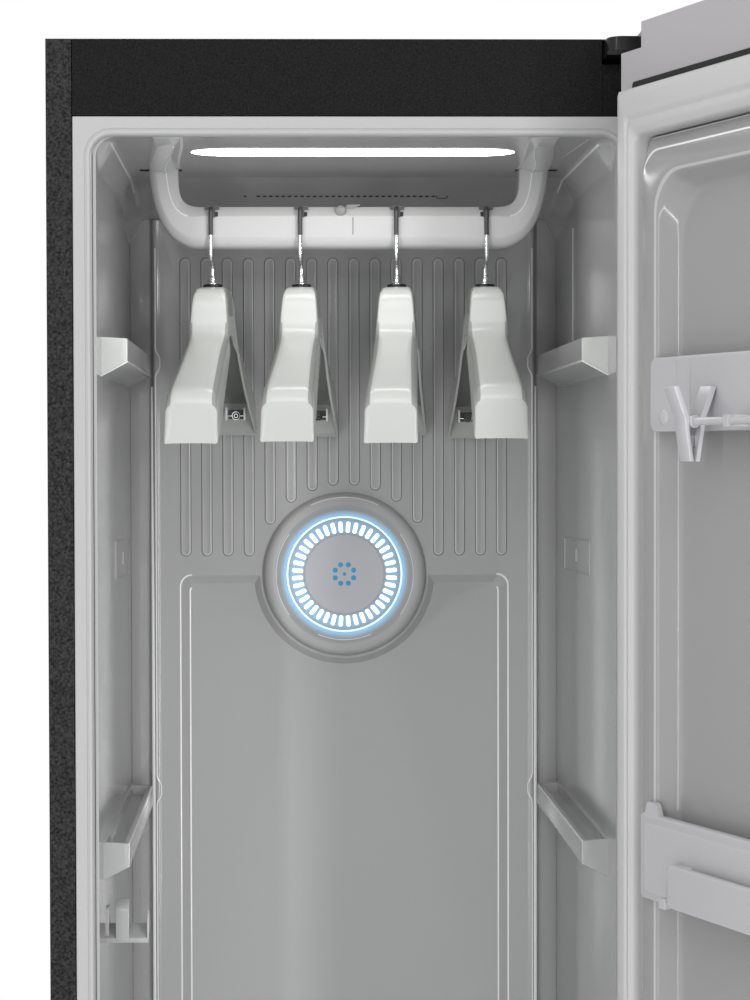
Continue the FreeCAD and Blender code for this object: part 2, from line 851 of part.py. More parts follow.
floor = new_body("cabin_floor")
floor_half = cabin_half - size.seat_gap
floor_back = duct_back - size.seat_gap
slab(floor, "floor_plate", "top",
     [rectangle(-floor_half, floor_half, front + size.trim_depth, floor_back)],
     floor_under, size.floor_thickness)
filter_half = size.filter_length / 2
filter_near = front + size.filter_front
slab(floor, "filter_hole", "top",
     [rectangle(-filter_half, filter_half, filter_near, filter_near + size.filter_depth)],
     floor_under - 1, size.floor_thickness + 2, cut=True)
vent_left = -size.vent_pitch * (size.vent_count - 1) / 2 - size.vent_width / 2
vent_near = front + size.blower_front - size.vent_length / 4
vent = slab(floor, "vent", "top",
            [rectangle(vent_left, vent_left + size.vent_width, vent_near,
                       vent_near + size.vent_length)],
            floor_under - 1, size.floor_thickness + 2, cut=True)
repeat_in_line(floor, vent, "x", size.vent_pitch, size.vent_count)
keep("cabin_floor", floor)

filter_gap = size.seat_gap
rim_low = size.floor_level
tray_low = rim_low - size.filter_height
tray = box("filter_tray", (-filter_half + filter_gap, filter_near + filter_gap, tray_low),
           (size.filter_length - 2 * filter_gap, size.filter_depth - 2 * filter_gap,
            size.filter_height))
rim = box("filter_rim_plate", (-filter_half - size.filter_rim, filter_near - size.filter_rim, rim_low),
          (size.filter_length + 2 * size.filter_rim, size.filter_depth + 2 * size.filter_rim, 3))
tray_wall = 3.0
pocket_low = tray_low + tray_wall
tray_hollow = box("filter_hollow",
                  (-filter_half + filter_gap + tray_wall, filter_near + filter_gap + tray_wall,
                   pocket_low),
                  (size.filter_length - 2 * (filter_gap + tray_wall),
                   size.filter_depth - 2 * (filter_gap + tray_wall), size.filter_height + 3))
grip_bar = box("filter_grip", (-30, filter_near + size.filter_depth / 2 - 5, pocket_low),
               (60, 10, size.filter_height))
filter_shell = cut("filter_shell", fuse("filter_stock", [tray, rim]), [tray_hollow])
keep("lint_filter", fuse("lint_filter", [filter_shell, grip_bar]))

peg = new_body("accessory_hook")
peg_wall = -cabin_half
peg_y = front + size.peg_front
base_low = peg_low
slab(peg, "peg_floor", "top",
     [rectangle(peg_wall, peg_wall + size.peg_width, peg_y, peg_y + 24)],
     base_low, size.peg_thickness)
slab(peg, "peg_wall_plate", "side",
     [rectangle(peg_y, peg_y + 24, base_low, base_low + size.peg_height)],
     peg_wall, size.peg_thickness)
slab(peg, "peg_tongue", "front",
     [rectangle(peg_wall + size.peg_width * 0.3, peg_wall + size.peg_width * 0.6,
                base_low, base_low + size.peg_height)],
     peg_y, size.peg_thickness)
slab(peg, "peg_tip", "side",
     [rectangle(peg_y, peg_y + 24, base_low, base_low + size.peg_height * 0.6)],
     peg_wall + size.peg_width - size.peg_thickness, size.peg_thickness)
keep("accessory_hook", peg)


# ---------------------------------------------------------------- lamps

lens = new_body("lamp_lens")
slab(lens, "lens_plate", "top", [lamp_outline(-size.seat_gap)], ceiling - size.lamp_drop,
     size.lamp_drop + size.cabin_wall)
keep("lamp_lens", lens)

bezel_front = duct_front - size.bezel_height
outlet_at = (0, duct_front, outlet_level)


def faced(label, body):
    """Stand a turned part on the duct cover: its spin axis points out of the cabin's back."""
    body.Placement = FreeCAD.Placement(FreeCAD.Vector(), FreeCAD.Rotation(FreeCAD.Vector(1, 0, 0), 90))
    return keep(label, body, outlet_at)


bezel = new_body("ring_bezel")
crown = size.bezel_height
spin(bezel, "bezel_ring", [[
    (size.bezel_bore, 0),
    (size.bezel_radius, 0),
    (size.bezel_radius - 2, crown * 0.6),
    (size.bezel_radius - 8, crown),
    (size.bezel_radius - 14, crown),
    (size.bezel_bore + 4, crown * 0.35),
    (size.bezel_bore, crown * 0.2),
]])
faced("ring_bezel", bezel)

guide = new_body("ring_light_guide")
guide_back = -size.panel_sink
spin(guide, "guide_ring", [[
    (size.guide_bore, guide_back),
    (size.guide_radius, guide_back),
    (size.guide_radius, guide_back + size.guide_thickness + 1.5),
    (size.cap_radius + 0.4, guide_back + size.guide_thickness + 1.5),
    (size.cap_radius + 0.4, guide_back + size.guide_thickness),
    (size.guide_bore, guide_back + size.guide_thickness),
]])
faced("ring_light_guide", guide)

cap = new_body("ring_cap")
cap_low = guide_back + size.guide_thickness
slab(cap, "cap_disc", "top", [Circle(0, 0, size.cap_radius)], cap_low, size.cap_thickness)
lamp_slot = slab(cap, "lamp_slot", "top",
                 [rectangle(size.slot_inner_radius, size.slot_inner_radius + size.slot_length,
                            -size.slot_width / 2, size.slot_width / 2)],
                 cap_low - 1, size.cap_thickness + 2, cut=True)
repeat_round(cap, lamp_slot, "z", size.slot_count)
air_hole = slab(cap, "air_hole", "top", [Circle(size.hole_ring_radius, 0, size.hole_radius)],
                cap_low - 1, size.cap_thickness + 2, cut=True)
repeat_round(cap, air_hole, "z", size.hole_count)
slab(cap, "middle_hole", "top", [Circle(0, 0, size.hole_radius)], cap_low - 1,
     size.cap_thickness + 2, cut=True)
faced("ring_cap", cap)

board_y = duct_front + size.panel_sink
keep("light_boards", group("light_boards", [
    box("lamp_board", (-lamp_half + size.lamp_taper, lamp_middle - 12, liner_top),
        (2 * (lamp_half - size.lamp_taper), 24, size.board_thickness)),
    cut("ring_board", rod("ring_board_disc", (0, board_y, outlet_level), size.guide_radius - 2,
                          size.board_thickness, "y"),
        [rod("ring_board_hole", (0, board_y - 1, outlet_level), size.guide_bore, 4, "y")]),
]))


# ---------------------------------------------------------------- hanger rail and its drive


def rail_outline():
    """The rail's front view: two arms and the bar between them."""
    outer = rail_half
    inner = outer - size.rail_arm_width
    arm_top = liner_top + 4
    return [
        (-outer, arm_top),
        (-outer, rail_low),
        (outer, rail_low),
        (outer, arm_top),
        (inner, arm_top),
        (inner, rail_top),
        (-inner, rail_top),
        (-inner, arm_top),
    ]


rail = new_body("hanger_rail")
slab(rail, "rail_bow", "front", [rail_outline()], front + size.rail_front, size.rail_thickness)
round_edges(rail, "rail_outer_bends", size.rail_outer_radius,
            lambda at, way: abs(way.y) > 0.9 and at.z < rail_low.value + 1)
round_edges(rail, "rail_inner_bends", size.rail_inner_radius,
            lambda at, way: abs(way.y) > 0.9 and abs(at.z - rail_top.value) < 1)
tee_low = rail_top - size.rail_slot_depth
slab(rail, "hook_slots", "front",
     [rectangle(x - size.rail_slot_width / 2, x + size.rail_slot_width / 2, tee_low, rail_top + 1)
      for x in hook_places],
     front + size.rail_front - 1, size.rail_thickness + 2, cut=True)
slab(rail, "hook_tees", "front",
     [rectangle(x - size.rail_tee_width / 2, x + size.rail_tee_width / 2, rail_top - 2, rail_top + 1)
      for x in hook_places],
     front + size.rail_front - 1, size.rail_thickness / 3, cut=True)
keep("hanger_rail", rail)

carriage_low = liner_top + 4
carriage_top = shaft_level + size.carriage_size / 2
shaft_bore = size.shaft_radius + size.running_clearance
carriages = []
for name, side in (("left", -1), ("right", 1)):
    block_x = side * arm_middle - size.carriage_size / 2
    block = box("carriage_block_" + name, (block_x, rail_middle - size.carriage_size / 2, carriage_low),
                (size.carriage_size, size.carriage_size, carriage_top - carriage_low))
    bore = rod("carriage_bore_" + name, (block_x - 1, rail_middle, shaft_level), shaft_bore,
               size.carriage_size + 2, "x")
    carriages.append(cut("carriage_" + name, block, [bore]))
yoke_y = rail_middle + 45
yoke_low = shaft_level - 4
pin_y = yoke_y + size.crank_throw
arm_length = arm_middle + 14
arm_stock = box("yoke_arm", (-14, rail_middle + size.carriage_size / 2, yoke_low), (arm_length, 12, 8))
head_stock = box("yoke_head", (-14, rail_middle + size.carriage_size / 2, yoke_low), (28, 60, 8))
slot_half = size.crank_pin_radius + size.yoke_clearance
yoke_slot = box("yoke_slot", (-slot_half, pin_y - 12, yoke_low - 1), (2 * slot_half, 24, 10))
yoke = cut("yoke", fuse("yoke_stock", [carriages[1], arm_stock, head_stock]), [yoke_slot])
keep("rail_carriages", group("rail_carriages", [carriages[0], yoke]))

block_reach = cabin_half - 4
shaft_blocks = []
for name, side in (("left", -1), ("right", 1)):
    block_x = side * block_reach - 6
    block = box("shaft_block_stock_" + name, (block_x, rail_middle - 14, liner_top),
                (12, 28, shaft_level + 14 - liner_top))
    seat = rod("shaft_seat_" + name, (block_x - 1, rail_middle, shaft_level),
               size.shaft_radius + 0.02, 14, "x")
    shaft_blocks.append(cut("shaft_block_" + name, block, [seat]))
keep("shaft_blocks", group("shaft_blocks", shaft_blocks))
keep("rail_shaft", rod("rail_shaft", (-block_reach - 6, rail_middle, shaft_level),
                       size.shaft_radius, 2 * (block_reach + 6), "x"))

motor_low = liner_top
motor_top = motor_low + size.motor_height - 22
motor_body = new_body("shaker_motor")
spin(motor_body, "motor_can", [[
    (0, 0),
    (size.motor_radius, 0),
    (size.motor_radius, motor_top - motor_low),
    (size.spindle_radius, motor_top - motor_low),
    (size.spindle_radius, size.motor_height - 13),
    (0, size.motor_height - 13),
]])
keep("shaker_motor", motor_body, (0, yoke_y, motor_low))

crank_low = motor_top + 0.5
crank = new_body("crank")
crank_thick = 6.0
spin(crank, "crank_disc", [[
    (size.spindle_radius + size.running_clearance, 0),
    (size.crank_throw + 7, 0),
    (size.crank_throw + 7, crank_thick),
    (size.spindle_radius + size.running_clearance, crank_thick),
]])
slab(crank, "crank_pin", "top", [Circle(0, size.crank_throw, size.crank_pin_radius)],
     crank_thick - 0.5, yoke_low + 8 - crank_low - crank_thick + 1.5)
keep("crank", crank, (0, yoke_y, crank_low))


# ---------------------------------------------------------------- hooks and hangers

hook_level = tee_low + size.wire_radius + size.seat_gap


def hook(label, x, turn):
    """A steel hook over the rail: it comes down in front of the bar to the hanger's neck."""
    body = new_body(label)
    drop = size.rail_bar_height + 4
    reach = size.rail_thickness / 2 + size.wire_radius + 2
    bend = size.hook_bend_radius
    path = body.newObject("Sketcher::SketchObject", label + "_path")
    path.AttachmentSupport = (origin_feature(body, "YZ_Plane"), [""])
    path.MapMode = "FlatFace"
    tail = -size.rail_slot_depth - 14
    swan = reach / 2
    lines = [
        ((reach, tail), (reach, -bend)),
        ((reach - bend, 0), (-reach + bend, 0)),
        ((-reach, -bend), (-reach, -drop)),
        ((0, -drop - 2 * swan), (0, -size.hanger_drop - 12)),
    ]
    for number, ends in enumerate(lines):
        corners = [FreeCAD.Vector(as_size(a).value, as_size(b).value, 0) for a, b in ends]
        path.addGeometry(Part.LineSegment(*corners), False)
        hold_point(path, number, 1, *ends[0])
        hold_point(path, number, 2, *ends[1])
    swan_middle = (-reach + swan, -drop - swan)
    arcs = [
        ((reach - bend, -bend), bend, 0, (0, 2), (1, 1)),
        ((-reach + bend, -bend), bend, 90, (1, 2), (2, 1)),
        ((-reach + swan, -drop), swan, 180, (2, 2), None),
        ((-reach + swan, -drop - 2 * swan), swan, 0, (3, 1), (6, 2)),
    ]
    for number, (centre, radius, starts, first, last) in enumerate(arcs, start=len(lines)):
        middle = FreeCAD.Vector(as_size(centre[0]).value, as_size(centre[1]).value, 0)
        circle = Part.Circle(middle, FreeCAD.Vector(0, 0, 1), radius.value)
        path.addGeometry(Part.ArcOfCircle(circle, math.radians(starts), math.radians(starts + 90)))
        path.addConstraint(Sketcher.Constraint("Coincident", number, 1, *first))
        if last:
            path.addConstraint(Sketcher.Constraint("Coincident", number, 2, *last))
        else:
            hold_point(path, number, 2, *swan_middle)
        held = path.addConstraint(Sketcher.Constraint("Radius", number, radius.value))
        bind(path, "Constraints[%d]" % held, radius)
    doc.recompute()
    ring = draw(body, label + "_wire", "top", [Circle(0, reach, size.wire_radius)],
                tail)
    sweep = body.newObject("PartDesign::AdditivePipe", label + "_sweep")
    sweep.Profile = ring
    sweep.Spine = path
    doc.recompute()
    return keep(label, body, (x, rail_middle, hook_level), turn)


def hanger(label, x, turn):
    """A moulded hanger: two arms that widen and thin towards their tips, with a bore for the hook."""
    body = new_body(label)
    top = -size.hanger_drop
    bottom = top - size.hanger_height
    neck = size.hanger_neck_width / 2
    tip = size.hanger_tip_width / 2
    neck_half = size.hanger_neck_length / 2
    for name, way in (("front", -1), ("rear", 1)):
        root = draw(body, "%s_%s_root" % (label, name), "front",
                    [rectangle(-neck, neck, top - size.hanger_neck_height, top)], 0)
        shoulder = draw(body, "%s_%s_shoulder" % (label, name), "front",
                        [rectangle(-neck, neck, top - size.hanger_neck_height - 4, top - 3)],
                        way * neck_half)
        end = draw(body, "%s_%s_end" % (label, name), "front",
                   [rectangle(-tip, tip, bottom, bottom + size.hanger_tip_height)],
                   way * size.hanger_half_span)
        arm = body.newObject("PartDesign::AdditiveLoft", "%s_%s_arm" % (label, name))
        arm.Profile = root
        arm.Sections = [shoulder, end]
        arm.Ruled = True
        doc.recompute()
        skin_wall = size.hanger_wall
        under = size.hanger_neck_height + 5
        near = draw(body, "%s_%s_hollow_near" % (label, name), "front",
                    [rectangle(-neck + skin_wall, neck - skin_wall, top - under, top - skin_wall - 2)],
                    way * size.hanger_web)
        middle = draw(body, "%s_%s_hollow_middle" % (label, name), "front",
                      [rectangle(-neck + skin_wall, neck - skin_wall, top - under,
                                 top - skin_wall - 3)], way * neck_half)
        far = draw(body, "%s_%s_hollow_far" % (label, name), "front",
                   [rectangle(-tip + skin_wall, tip - skin_wall, bottom - 1,
                              bottom + size.hanger_tip_height - skin_wall)],
                   way * (size.hanger_half_span - skin_wall))
        hollow = body.newObject("PartDesign::SubtractiveLoft", "%s_%s_hollow" % (label, name))
        hollow.Profile = near
        hollow.Sections = [middle, far]
        hollow.Ruled = True
        doc.recompute()
    slab(body, label + "_bore", "top",
         [Circle(0, 0, size.wire_radius + size.running_clearance)], top - 14, 15, cut=True)
    return keep(label, body, (x, rail_middle, hook_level), turn)


for number, x in enumerate(hook_places, start=1):
    turn = size.hanger_turn if number < 4 else size.hanger_turn / 9
    hook("hook_%d" % number, x, -turn)
    hanger("hanger_%d" % number, x, -turn)


# ---------------------------------------------------------------- tanks and their bay

bay = new_body("tank_bay")
bay_front = front + size.trim_depth
bay_half = opening_half - size.seat_gap
slab(bay, "bay_stock", "front",
     [rectangle(-bay_half, bay_half, size.bay_bottom, size.bay_top)],
     bay_front, size.bay_depth)
cell_left = size.bay_wall / 2
cell_right = bay_half - size.bay_side
cell_low = size.bay_bottom + size.bay_wall
cell_high = size.bay_top - size.bay_wall
cell = rectangle(cell_left, cell_right, cell_low, cell_high)
slab(bay, "bay_cells", "front", [cell, mirrored(cell)], bay_front - 1,
     size.bay_depth - size.bay_wall + 1, cut=True)
side_hollow = rectangle(cell_right + size.bay_wall, bay_half - size.bay_wall, cell_low, cell_high)
slab(bay, "bay_side_hollows", "front", [side_hollow, mirrored(side_hollow)],
     bay_front + size.bay_wall, size.bay_depth, cut=True)
keep("tank_bay", bay)

tank_width = cell_right - cell_left - 2 * size.tank_gap
tank_low = cell_low
tank_height = cell_high - cell_low - 2 * size.tank_gap
tank_near = front + size.tank_front
tank_far = bay_front + size.bay_depth - size.bay_wall - size.tank_gap


def tank(label, left):
    """A water tank with a filling mouth on top and a bar handle across its front."""
    wall = size.tank_wall
    middle = left + tank_width / 2
    length = tank_far - tank_near
    stock = box(label + "_stock", (left, tank_near, tank_low), (tank_width, length, tank_height))
    hollow = box(label + "_hollow", (left + wall, tank_near + wall, tank_low + wall),
                 (tank_width - 2 * wall, length - 2 * wall, tank_height - 2 * wall))
    mouth = box(label + "_mouth",
                (middle - size.tank_mouth_width / 2, tank_near + 20, tank_low + tank_height - wall - 1),
                (size.tank_mouth_width, size.tank_mouth_depth, wall + 2))
    shell = cut(label + "_shell", stock, [hollow, mouth])
    bar_left = middle - size.handle_length / 2
    reach = size.handle_reach
    bar = box(label + "_bar", (bar_left, tank_near - reach, size.handle_level),
              (size.handle_length, size.handle_bar / 2, size.handle_bar))
    posts = [
        box(label + "_post_" + name, (x, tank_near - reach, size.handle_level), (10, reach, size.handle_bar))
        for name, x in (("left", bar_left), ("right", bar_left + size.handle_length - 10))
    ]
    return keep(label, fuse(label, [shell, bar] + posts))


tank("supply_tank", -cell_right + size.tank_gap)
tank("drain_tank", cell_left + size.tank_gap)


# ---------------------------------------------------------------- machine compartment

compressor = new_body("compressor")
spin(compressor, "compressor_can", [[
    (0, 0),
    (size.compressor_radius - 14, 0),
    (size.compressor_radius, 12),
    (size.compressor_radius, size.compressor_height - 30),
    (size.compressor_radius - 22, size.compressor_height - 6),
    (18, size.compressor_height),
    (0, size.compressor_height),
]])
spin(compressor, "oil_space", [rectangle(size.compressor_radius / 2, size.compressor_radius - 5,
                                         as_size(16), size.compressor_height - 34)], cut=True)
compressor_x = -half + size.compressor_radius + 40
machine_near = front + size.trim_depth + size.bay_depth
keep("compressor", compressor, (compressor_x, inside_back - size.compressor_radius - 30, pan_floor))


def coil(name, left, near):
    """A finned heat exchanger: one block with its fins cut from the back."""
    body = new_body(name)
    slab(body, name + "_block", "top",
         [rectangle(0, size.coil_width, 0, size.coil_depth)], 0, size.coil_height)
    fin_gap = slab(body, name + "_gap", "top",
                   [rectangle(6, 6 + size.fin_gap, 6, size.coil_depth + 1)], 10,
                   size.coil_height - 20, cut=True)
    repeat_in_line(body, fin_gap, "x", size.fin_pitch,
                   as_size(int((size.coil_width.value - 12) / size.fin_pitch.value)))
    place(body, (left, near, pan_floor))
    return body


coil_left = -10
coils = [
    coil("condenser", coil_left, machine_near + 20),
    coil("evaporator", coil_left, machine_near + 20 + size.coil_depth + 40),
]
keep("heat_exchangers", group("heat_exchangers", coils))

boiler_left = coil_left + 20
boiler_near = machine_near + 2 * size.coil_depth + 90
boiler = new_body("steam_generator")
slab(boiler, "boiler_tub", "top",
     [rectangle(0, size.boiler_width, 0, size.boiler_depth)], 0, size.boiler_height)
round_edges(boiler, "boiler_corners", as_size(12),
            lambda at, way: abs(way.z) > 0.9)
slab(boiler, "boiler_flange", "top",
     [rectangle(-5, size.boiler_width + 5, -5, size.boiler_depth + 5)],
     size.boiler_height - 20, as_size(5))
slab(boiler, "steam_spout", "top", [Circle(size.boiler_width / 2, size.boiler_depth / 2, 12)],
     size.boiler_height - 1, as_size(40))
keep("steam_generator", boiler, (boiler_left, boiler_near, pan_floor))

housing = new_body("blower_housing")
scroll_half = size.blower_radius
neck_top = floor_under - size.blower_level
slab(housing, "scroll_stock", "front", [Circle(0, 0, scroll_half)], 0, size.blower_width)
slab(housing, "throat_stock", "front",
     [rectangle(0, scroll_half, 0, neck_top)], 0, size.blower_width)
inner_half = scroll_half - size.blower_wall
inner_width = size.blower_width - 2 * size.blower_wall
slab(housing, "scroll_room", "front", [Circle(0, 0, inner_half)], size.blower_wall, inner_width,
     cut=True)
slab(housing, "throat_room", "front",
     [rectangle(size.blower_wall, inner_half, 0, neck_top + 1)], size.blower_wall, inner_width,
     cut=True)
slab(housing, "intake", "front", [Circle(0, 0, size.wheel_radius - 14)], -1,
     size.blower_wall + 2, cut=True)
slab(housing, "spindle", "front", [Circle(0, 0, size.spindle_radius)], size.blower_wall + 10,
     inner_width - 9)
keep("blower_housing", housing, (0, front + size.blower_front, size.blower_level))

wheel = new_body("blower_wheel")
wheel_width = inner_width - 10
hub_bore = size.spindle_radius + size.running_clearance
slab(wheel, "back_plate", "front", [Circle(0, 0, size.wheel_radius), Circle(0, 0, hub_bore)],
     wheel_width - 3, as_size(3))
slab(wheel, "hub", "front", [Circle(0, 0, 14), Circle(0, 0, hub_bore)], wheel_width - 28,
     as_size(26))
blade = slab(wheel, "blade", "front",
             [[(size.wheel_radius - 14, -1), (size.wheel_radius - 1, 4), (size.wheel_radius - 1, 6),
               (size.wheel_radius - 14, 1)]], 0, wheel_width - 2)
repeat_round(wheel, blade, "y", size.wheel_blades)
slab(wheel, "front_ring", "front",
     [Circle(0, 0, size.wheel_radius), Circle(0, 0, size.wheel_radius - 16)], 0, as_size(3))
keep("blower_wheel", wheel, (0, front + size.blower_front + size.blower_wall + 5, size.blower_level))

control_size = (190.0, 38.0, 130.0)
control_at = (half - 230, inside_back - control_size[1], 300)
control = box("control_case", control_at, control_size)
control_slots = [
    box("control_slot_%d" % number, (control_at[0] + 20 + 22 * number, control_at[1] - 1, 320),
        (8, 6, 90))
    for number in range(7)
]
keep("control_box", cut("control_box", control, control_slots))

inlet_body = box("inlet_body", (inlet_x - inlet_half[0] + size.seat_gap, back - 26,
                                inlet_z - inlet_half[1] + size.seat_gap),
                 (2 * (inlet_half[0] - size.seat_gap.value), 26,
                  2 * (inlet_half[1] - size.seat_gap.value)))
inlet_well = box("inlet_well", (inlet_x - 11, back - 16, inlet_z - 8), (22, 17, 16))
inlet_flange = box("inlet_flange", (inlet_x - 18, inside_back - 2.3, inlet_z - 15), (36, 2, 30))
inlet_pins = [
    box("inlet_pin_%d" % number, (inlet_x - 1 + across, back - 17, inlet_z - 2 + up), (2, 12, 4))
    for number, (across, up) in enumerate(((-6, -3), (6, -3), (0, 3)))
]
inlet_shell = cut("inlet_shell", fuse("inlet_stock", [inlet_body, inlet_flange]), [inlet_well])
keep("power_inlet", fuse("power_inlet", [inlet_shell] + inlet_pins))


# ---------------------------------------------------------------- hinges

plate_low = size.height - size.notch_height + 5
cover_low = plate_low + size.hinge_plate + size.seat_gap
arm_left = half - size.notch_width + 1
root_left = bay_edge - size.hinge_recess_width + 2
root_right = hinge_x + 8
end_radius = size.hinge_inset - 1
root_near = front - size.door_gap + 1.6
root_far = front + 60


def hinge_plate(name, low, thick, far):
    """A bracket's plan: a wide root at the case, a narrow arm and a round end at the pivot."""
    root = box(name + "_root", (root_left, root_near, low), (root_right - root_left, far - root_near, thick))
    arm = box(name + "_arm", (arm_left, hinge_y, low), (root_right - arm_left, root_near + 1 - hinge_y, thick))
    end = rod(name + "_end", (hinge_x, hinge_y, low), end_radius, thick)
    return fuse(name, [root, arm, end])


low_plate_low = size.foot_height + size.pan_lip
brackets = []
for name, low in (("upper", plate_low), ("lower", low_plate_low)):
    plate = hinge_plate("bracket_" + name, low, size.hinge_plate, root_far)
    hole = rod("bracket_hole_" + name, (hinge_x, hinge_y, low - 1), size.hinge_pin_radius + 0.02,
               size.hinge_plate + 2)
    brackets.append(cut("hinge_" + name, plate, [hole]))
keep("hinge_brackets", group("hinge_brackets", brackets))
keep("hinge_cover", hinge_plate("hinge_cover", cover_low, roof - size.seat_gap - cover_low,
                                front + size.band_depth))

top_pin_low = size.height - size.notch_height - size.bushing_height
pin_length = size.bushing_height + size.hinge_plate + 5
keep("hinge_pins", group("hinge_pins", [
    rod("upper_pin", (hinge_x, hinge_y, top_pin_low), size.hinge_pin_radius, pin_length),
    rod("lower_pin", (hinge_x, hinge_y, low_plate_low), size.hinge_pin_radius,
        size.door_bottom + size.bushing_height - low_plate_low),
]))


# ---------------------------------------------------------------- door, built shut round its pivot

door_at = (hinge_x, hinge_y, 0)
door_right = size.hinge_inset
door_left = size.hinge_inset - size.width
door_middle = size.hinge_inset - half
door_inner = size.hinge_forward - size.door_gap
door_outer = door_inner - size.door_thickness
skin_back = door_outer + size.glass_thickness
door_top = size.height
gasket_high = door_top - size.gasket_top_inset
gasket_low = size.door_bottom + size.gasket_foot
door_height = door_top - size.door_bottom
wall = size.door_wall


def on_door(label, thing):
    """Place a sub-part of the door: swung open about the hinge pins."""
    return keep(label, thing, door_at, size.door_open)


shell_stock = box("shell_stock", (door_left, skin_back, size.door_bottom),
                  (size.width, door_inner - skin_back, door_height))
shell_room = box("shell_room", (door_left + wall, skin_back + wall, size.door_bottom + wall),
                 (size.width - 2 * wall, door_inner - skin_back - 2 * wall, door_height - 2 * wall))
notch_left = door_right - size.notch_width
notch_near = -end_radius - 1
notch_corner = (notch_left, notch_near, door_top - size.notch_height)
notch_extent = (size.notch_width + 1, door_inner - notch_near + 1, size.notch_height + 1)
grip_corner = (door_left - 1, door_inner - size.grip_width - 8, size.grip_level)
grip_extent = (size.grip_depth + 1, size.grip_width, size.grip_length)


def grown(name, corner, extent, by):
    """A box thicker by a margin on every side."""
    return box(name, tuple(at - by for at in corner), tuple(length + 2 * by for length in extent))


socket_low = door_top - size.notch_height - size.bushing_height
sockets = [
    rod("socket_upper", (0, 0, socket_low), size.bushing_radius + 0.02, size.bushing_height + 1),
    rod("socket_lower", (0, 0, size.door_bottom - 1), size.bushing_radius + 0.02,
        size.bushing_height + 1),
]
bosses = [
    box("boss_upper", (-12, notch_near, socket_low - wall), (24, 28, size.bushing_height + wall)),
    box("boss_lower", (-12, notch_near, size.door_bottom), (24, 28, size.bushing_height + wall)),
]
room = cut("shell_void", shell_room, [
    grown("notch_keep", notch_corner, notch_extent, wall),
    grown("grip_keep", grip_corner, grip_extent, wall),
] + bosses)
window_half = half - size.gasket_outer_inset - size.gasket_width / 2
window_low = gasket_low + size.gasket_width / 2
window_high = gasket_high - size.gasket_width / 2
window = box("shell_window", (door_middle - window_half, door_inner - 2 * wall, window_low),
             (2 * window_half, 3 * wall, window_high - window_low))
on_door("door_shell", cut("door_shell", shell_stock, [
    room,
    window,
    box("notch", notch_corner, notch_extent),
    box("grip", grip_corner, grip_extent),
] + sockets))

skin = new_body("door_front")
slab(skin, "front_sheet", "front",
     [rectangle(door_left, door_right, size.door_bottom, door_top)], door_outer,
     size.glass_thickness)
round_edges(skin, "front_arris", size.glass_thickness / 2,
            lambda at, way: abs(way.z) > 0.9 and at.y < door_outer.value + 0.1)
on_door("door_front", skin)

bushings = [
    cut("bushing_" + name, rod("bushing_stock_" + name, (0, 0, low), size.bushing_radius,
                               size.bushing_height),
        [rod("bushing_bore_" + name, (0, 0, low - 1), size.hinge_pin_radius + size.running_clearance,
             size.bushing_height + 2)])
    for name, low in (("upper", socket_low), ("lower", size.door_bottom))
]
on_door("hinge_bushings", group("hinge_bushings", bushings))

gasket = new_body("door_gasket")
gasket_out = half - size.gasket_outer_inset
gasket_in = gasket_out - size.gasket_width
gasket_back = door_inner + size.seat_gap
gasket_depth = size.door_gap - 2 * size.seat_gap
gasket_inner_top = gasket_high - size.gasket_top_width
gasket_inner_low = gasket_low + size.gasket_width
slab(gasket, "gasket_ring", "front",
     [rectangle(door_middle - gasket_out, door_middle + gasket_out, gasket_low,
                gasket_high),
      rectangle(door_middle - gasket_in, door_middle + gasket_in, gasket_inner_low,
                gasket_inner_top)],
     gasket_back, gasket_depth)
on_door("door_gasket", gasket)

door_liner = new_body("door_liner")
liner_half = gasket_in - 1
liner_high = gasket_inner_top - 1
liner_low = gasket_inner_low + 1
plate_low_y = door_inner - size.liner_thickness
crest_y = door_inner + size.dyke_height
well_y = door_inner + size.well_rise
shell_wall = size.liner_thickness
slab(door_liner, "liner_plate", "front",
     [rectangle(door_middle - window_half + size.seat_gap, door_middle + window_half - size.seat_gap,
                window_low + size.seat_gap, window_high - size.seat_gap)],
     plate_low_y, size.liner_thickness)


def inner_frame(inset):
    """A rectangle inside the door liner's rim, as a loop."""
    return rectangle(door_middle - liner_half + inset, door_middle + liner_half - inset,
                     liner_low + inset, liner_high - inset)


def taper(name, kind, near, near_inset, far, far_inset):
    """Stock or a hole whose rectangle changes from one depth of the door to another."""
    first = draw(door_liner, name + "_near", "front", [inner_frame(near_inset)], near)
    last = draw(door_liner, name + "_far", "front", [inner_frame(far_inset)], far)
    loft = door_liner.newObject("PartDesign::%sLoft" % kind, name)
    loft.Profile = first
    loft.Sections = [last]
    loft.Ruled = True
    doc.recompute()


well_inset = size.dyke_flank + size.dyke_crest
floor_inset = well_inset + size.well_flank
taper("dyke", "Additive", door_inner - 0.5, as_size(0), crest_y, size.dyke_flank)
taper("dyke_hollow", "Subtractive", plate_low_y - 0.01, shell_wall,
      crest_y - shell_wall, size.dyke_flank + shell_wall)
taper("well_stock", "Additive", crest_y - shell_wall, well_inset - shell_wall,
      well_y - shell_wall, floor_inset)
taper("well", "Subtractive", crest_y + 0.01, well_inset, well_y, floor_inset)
on_door("door_liner", door_liner)

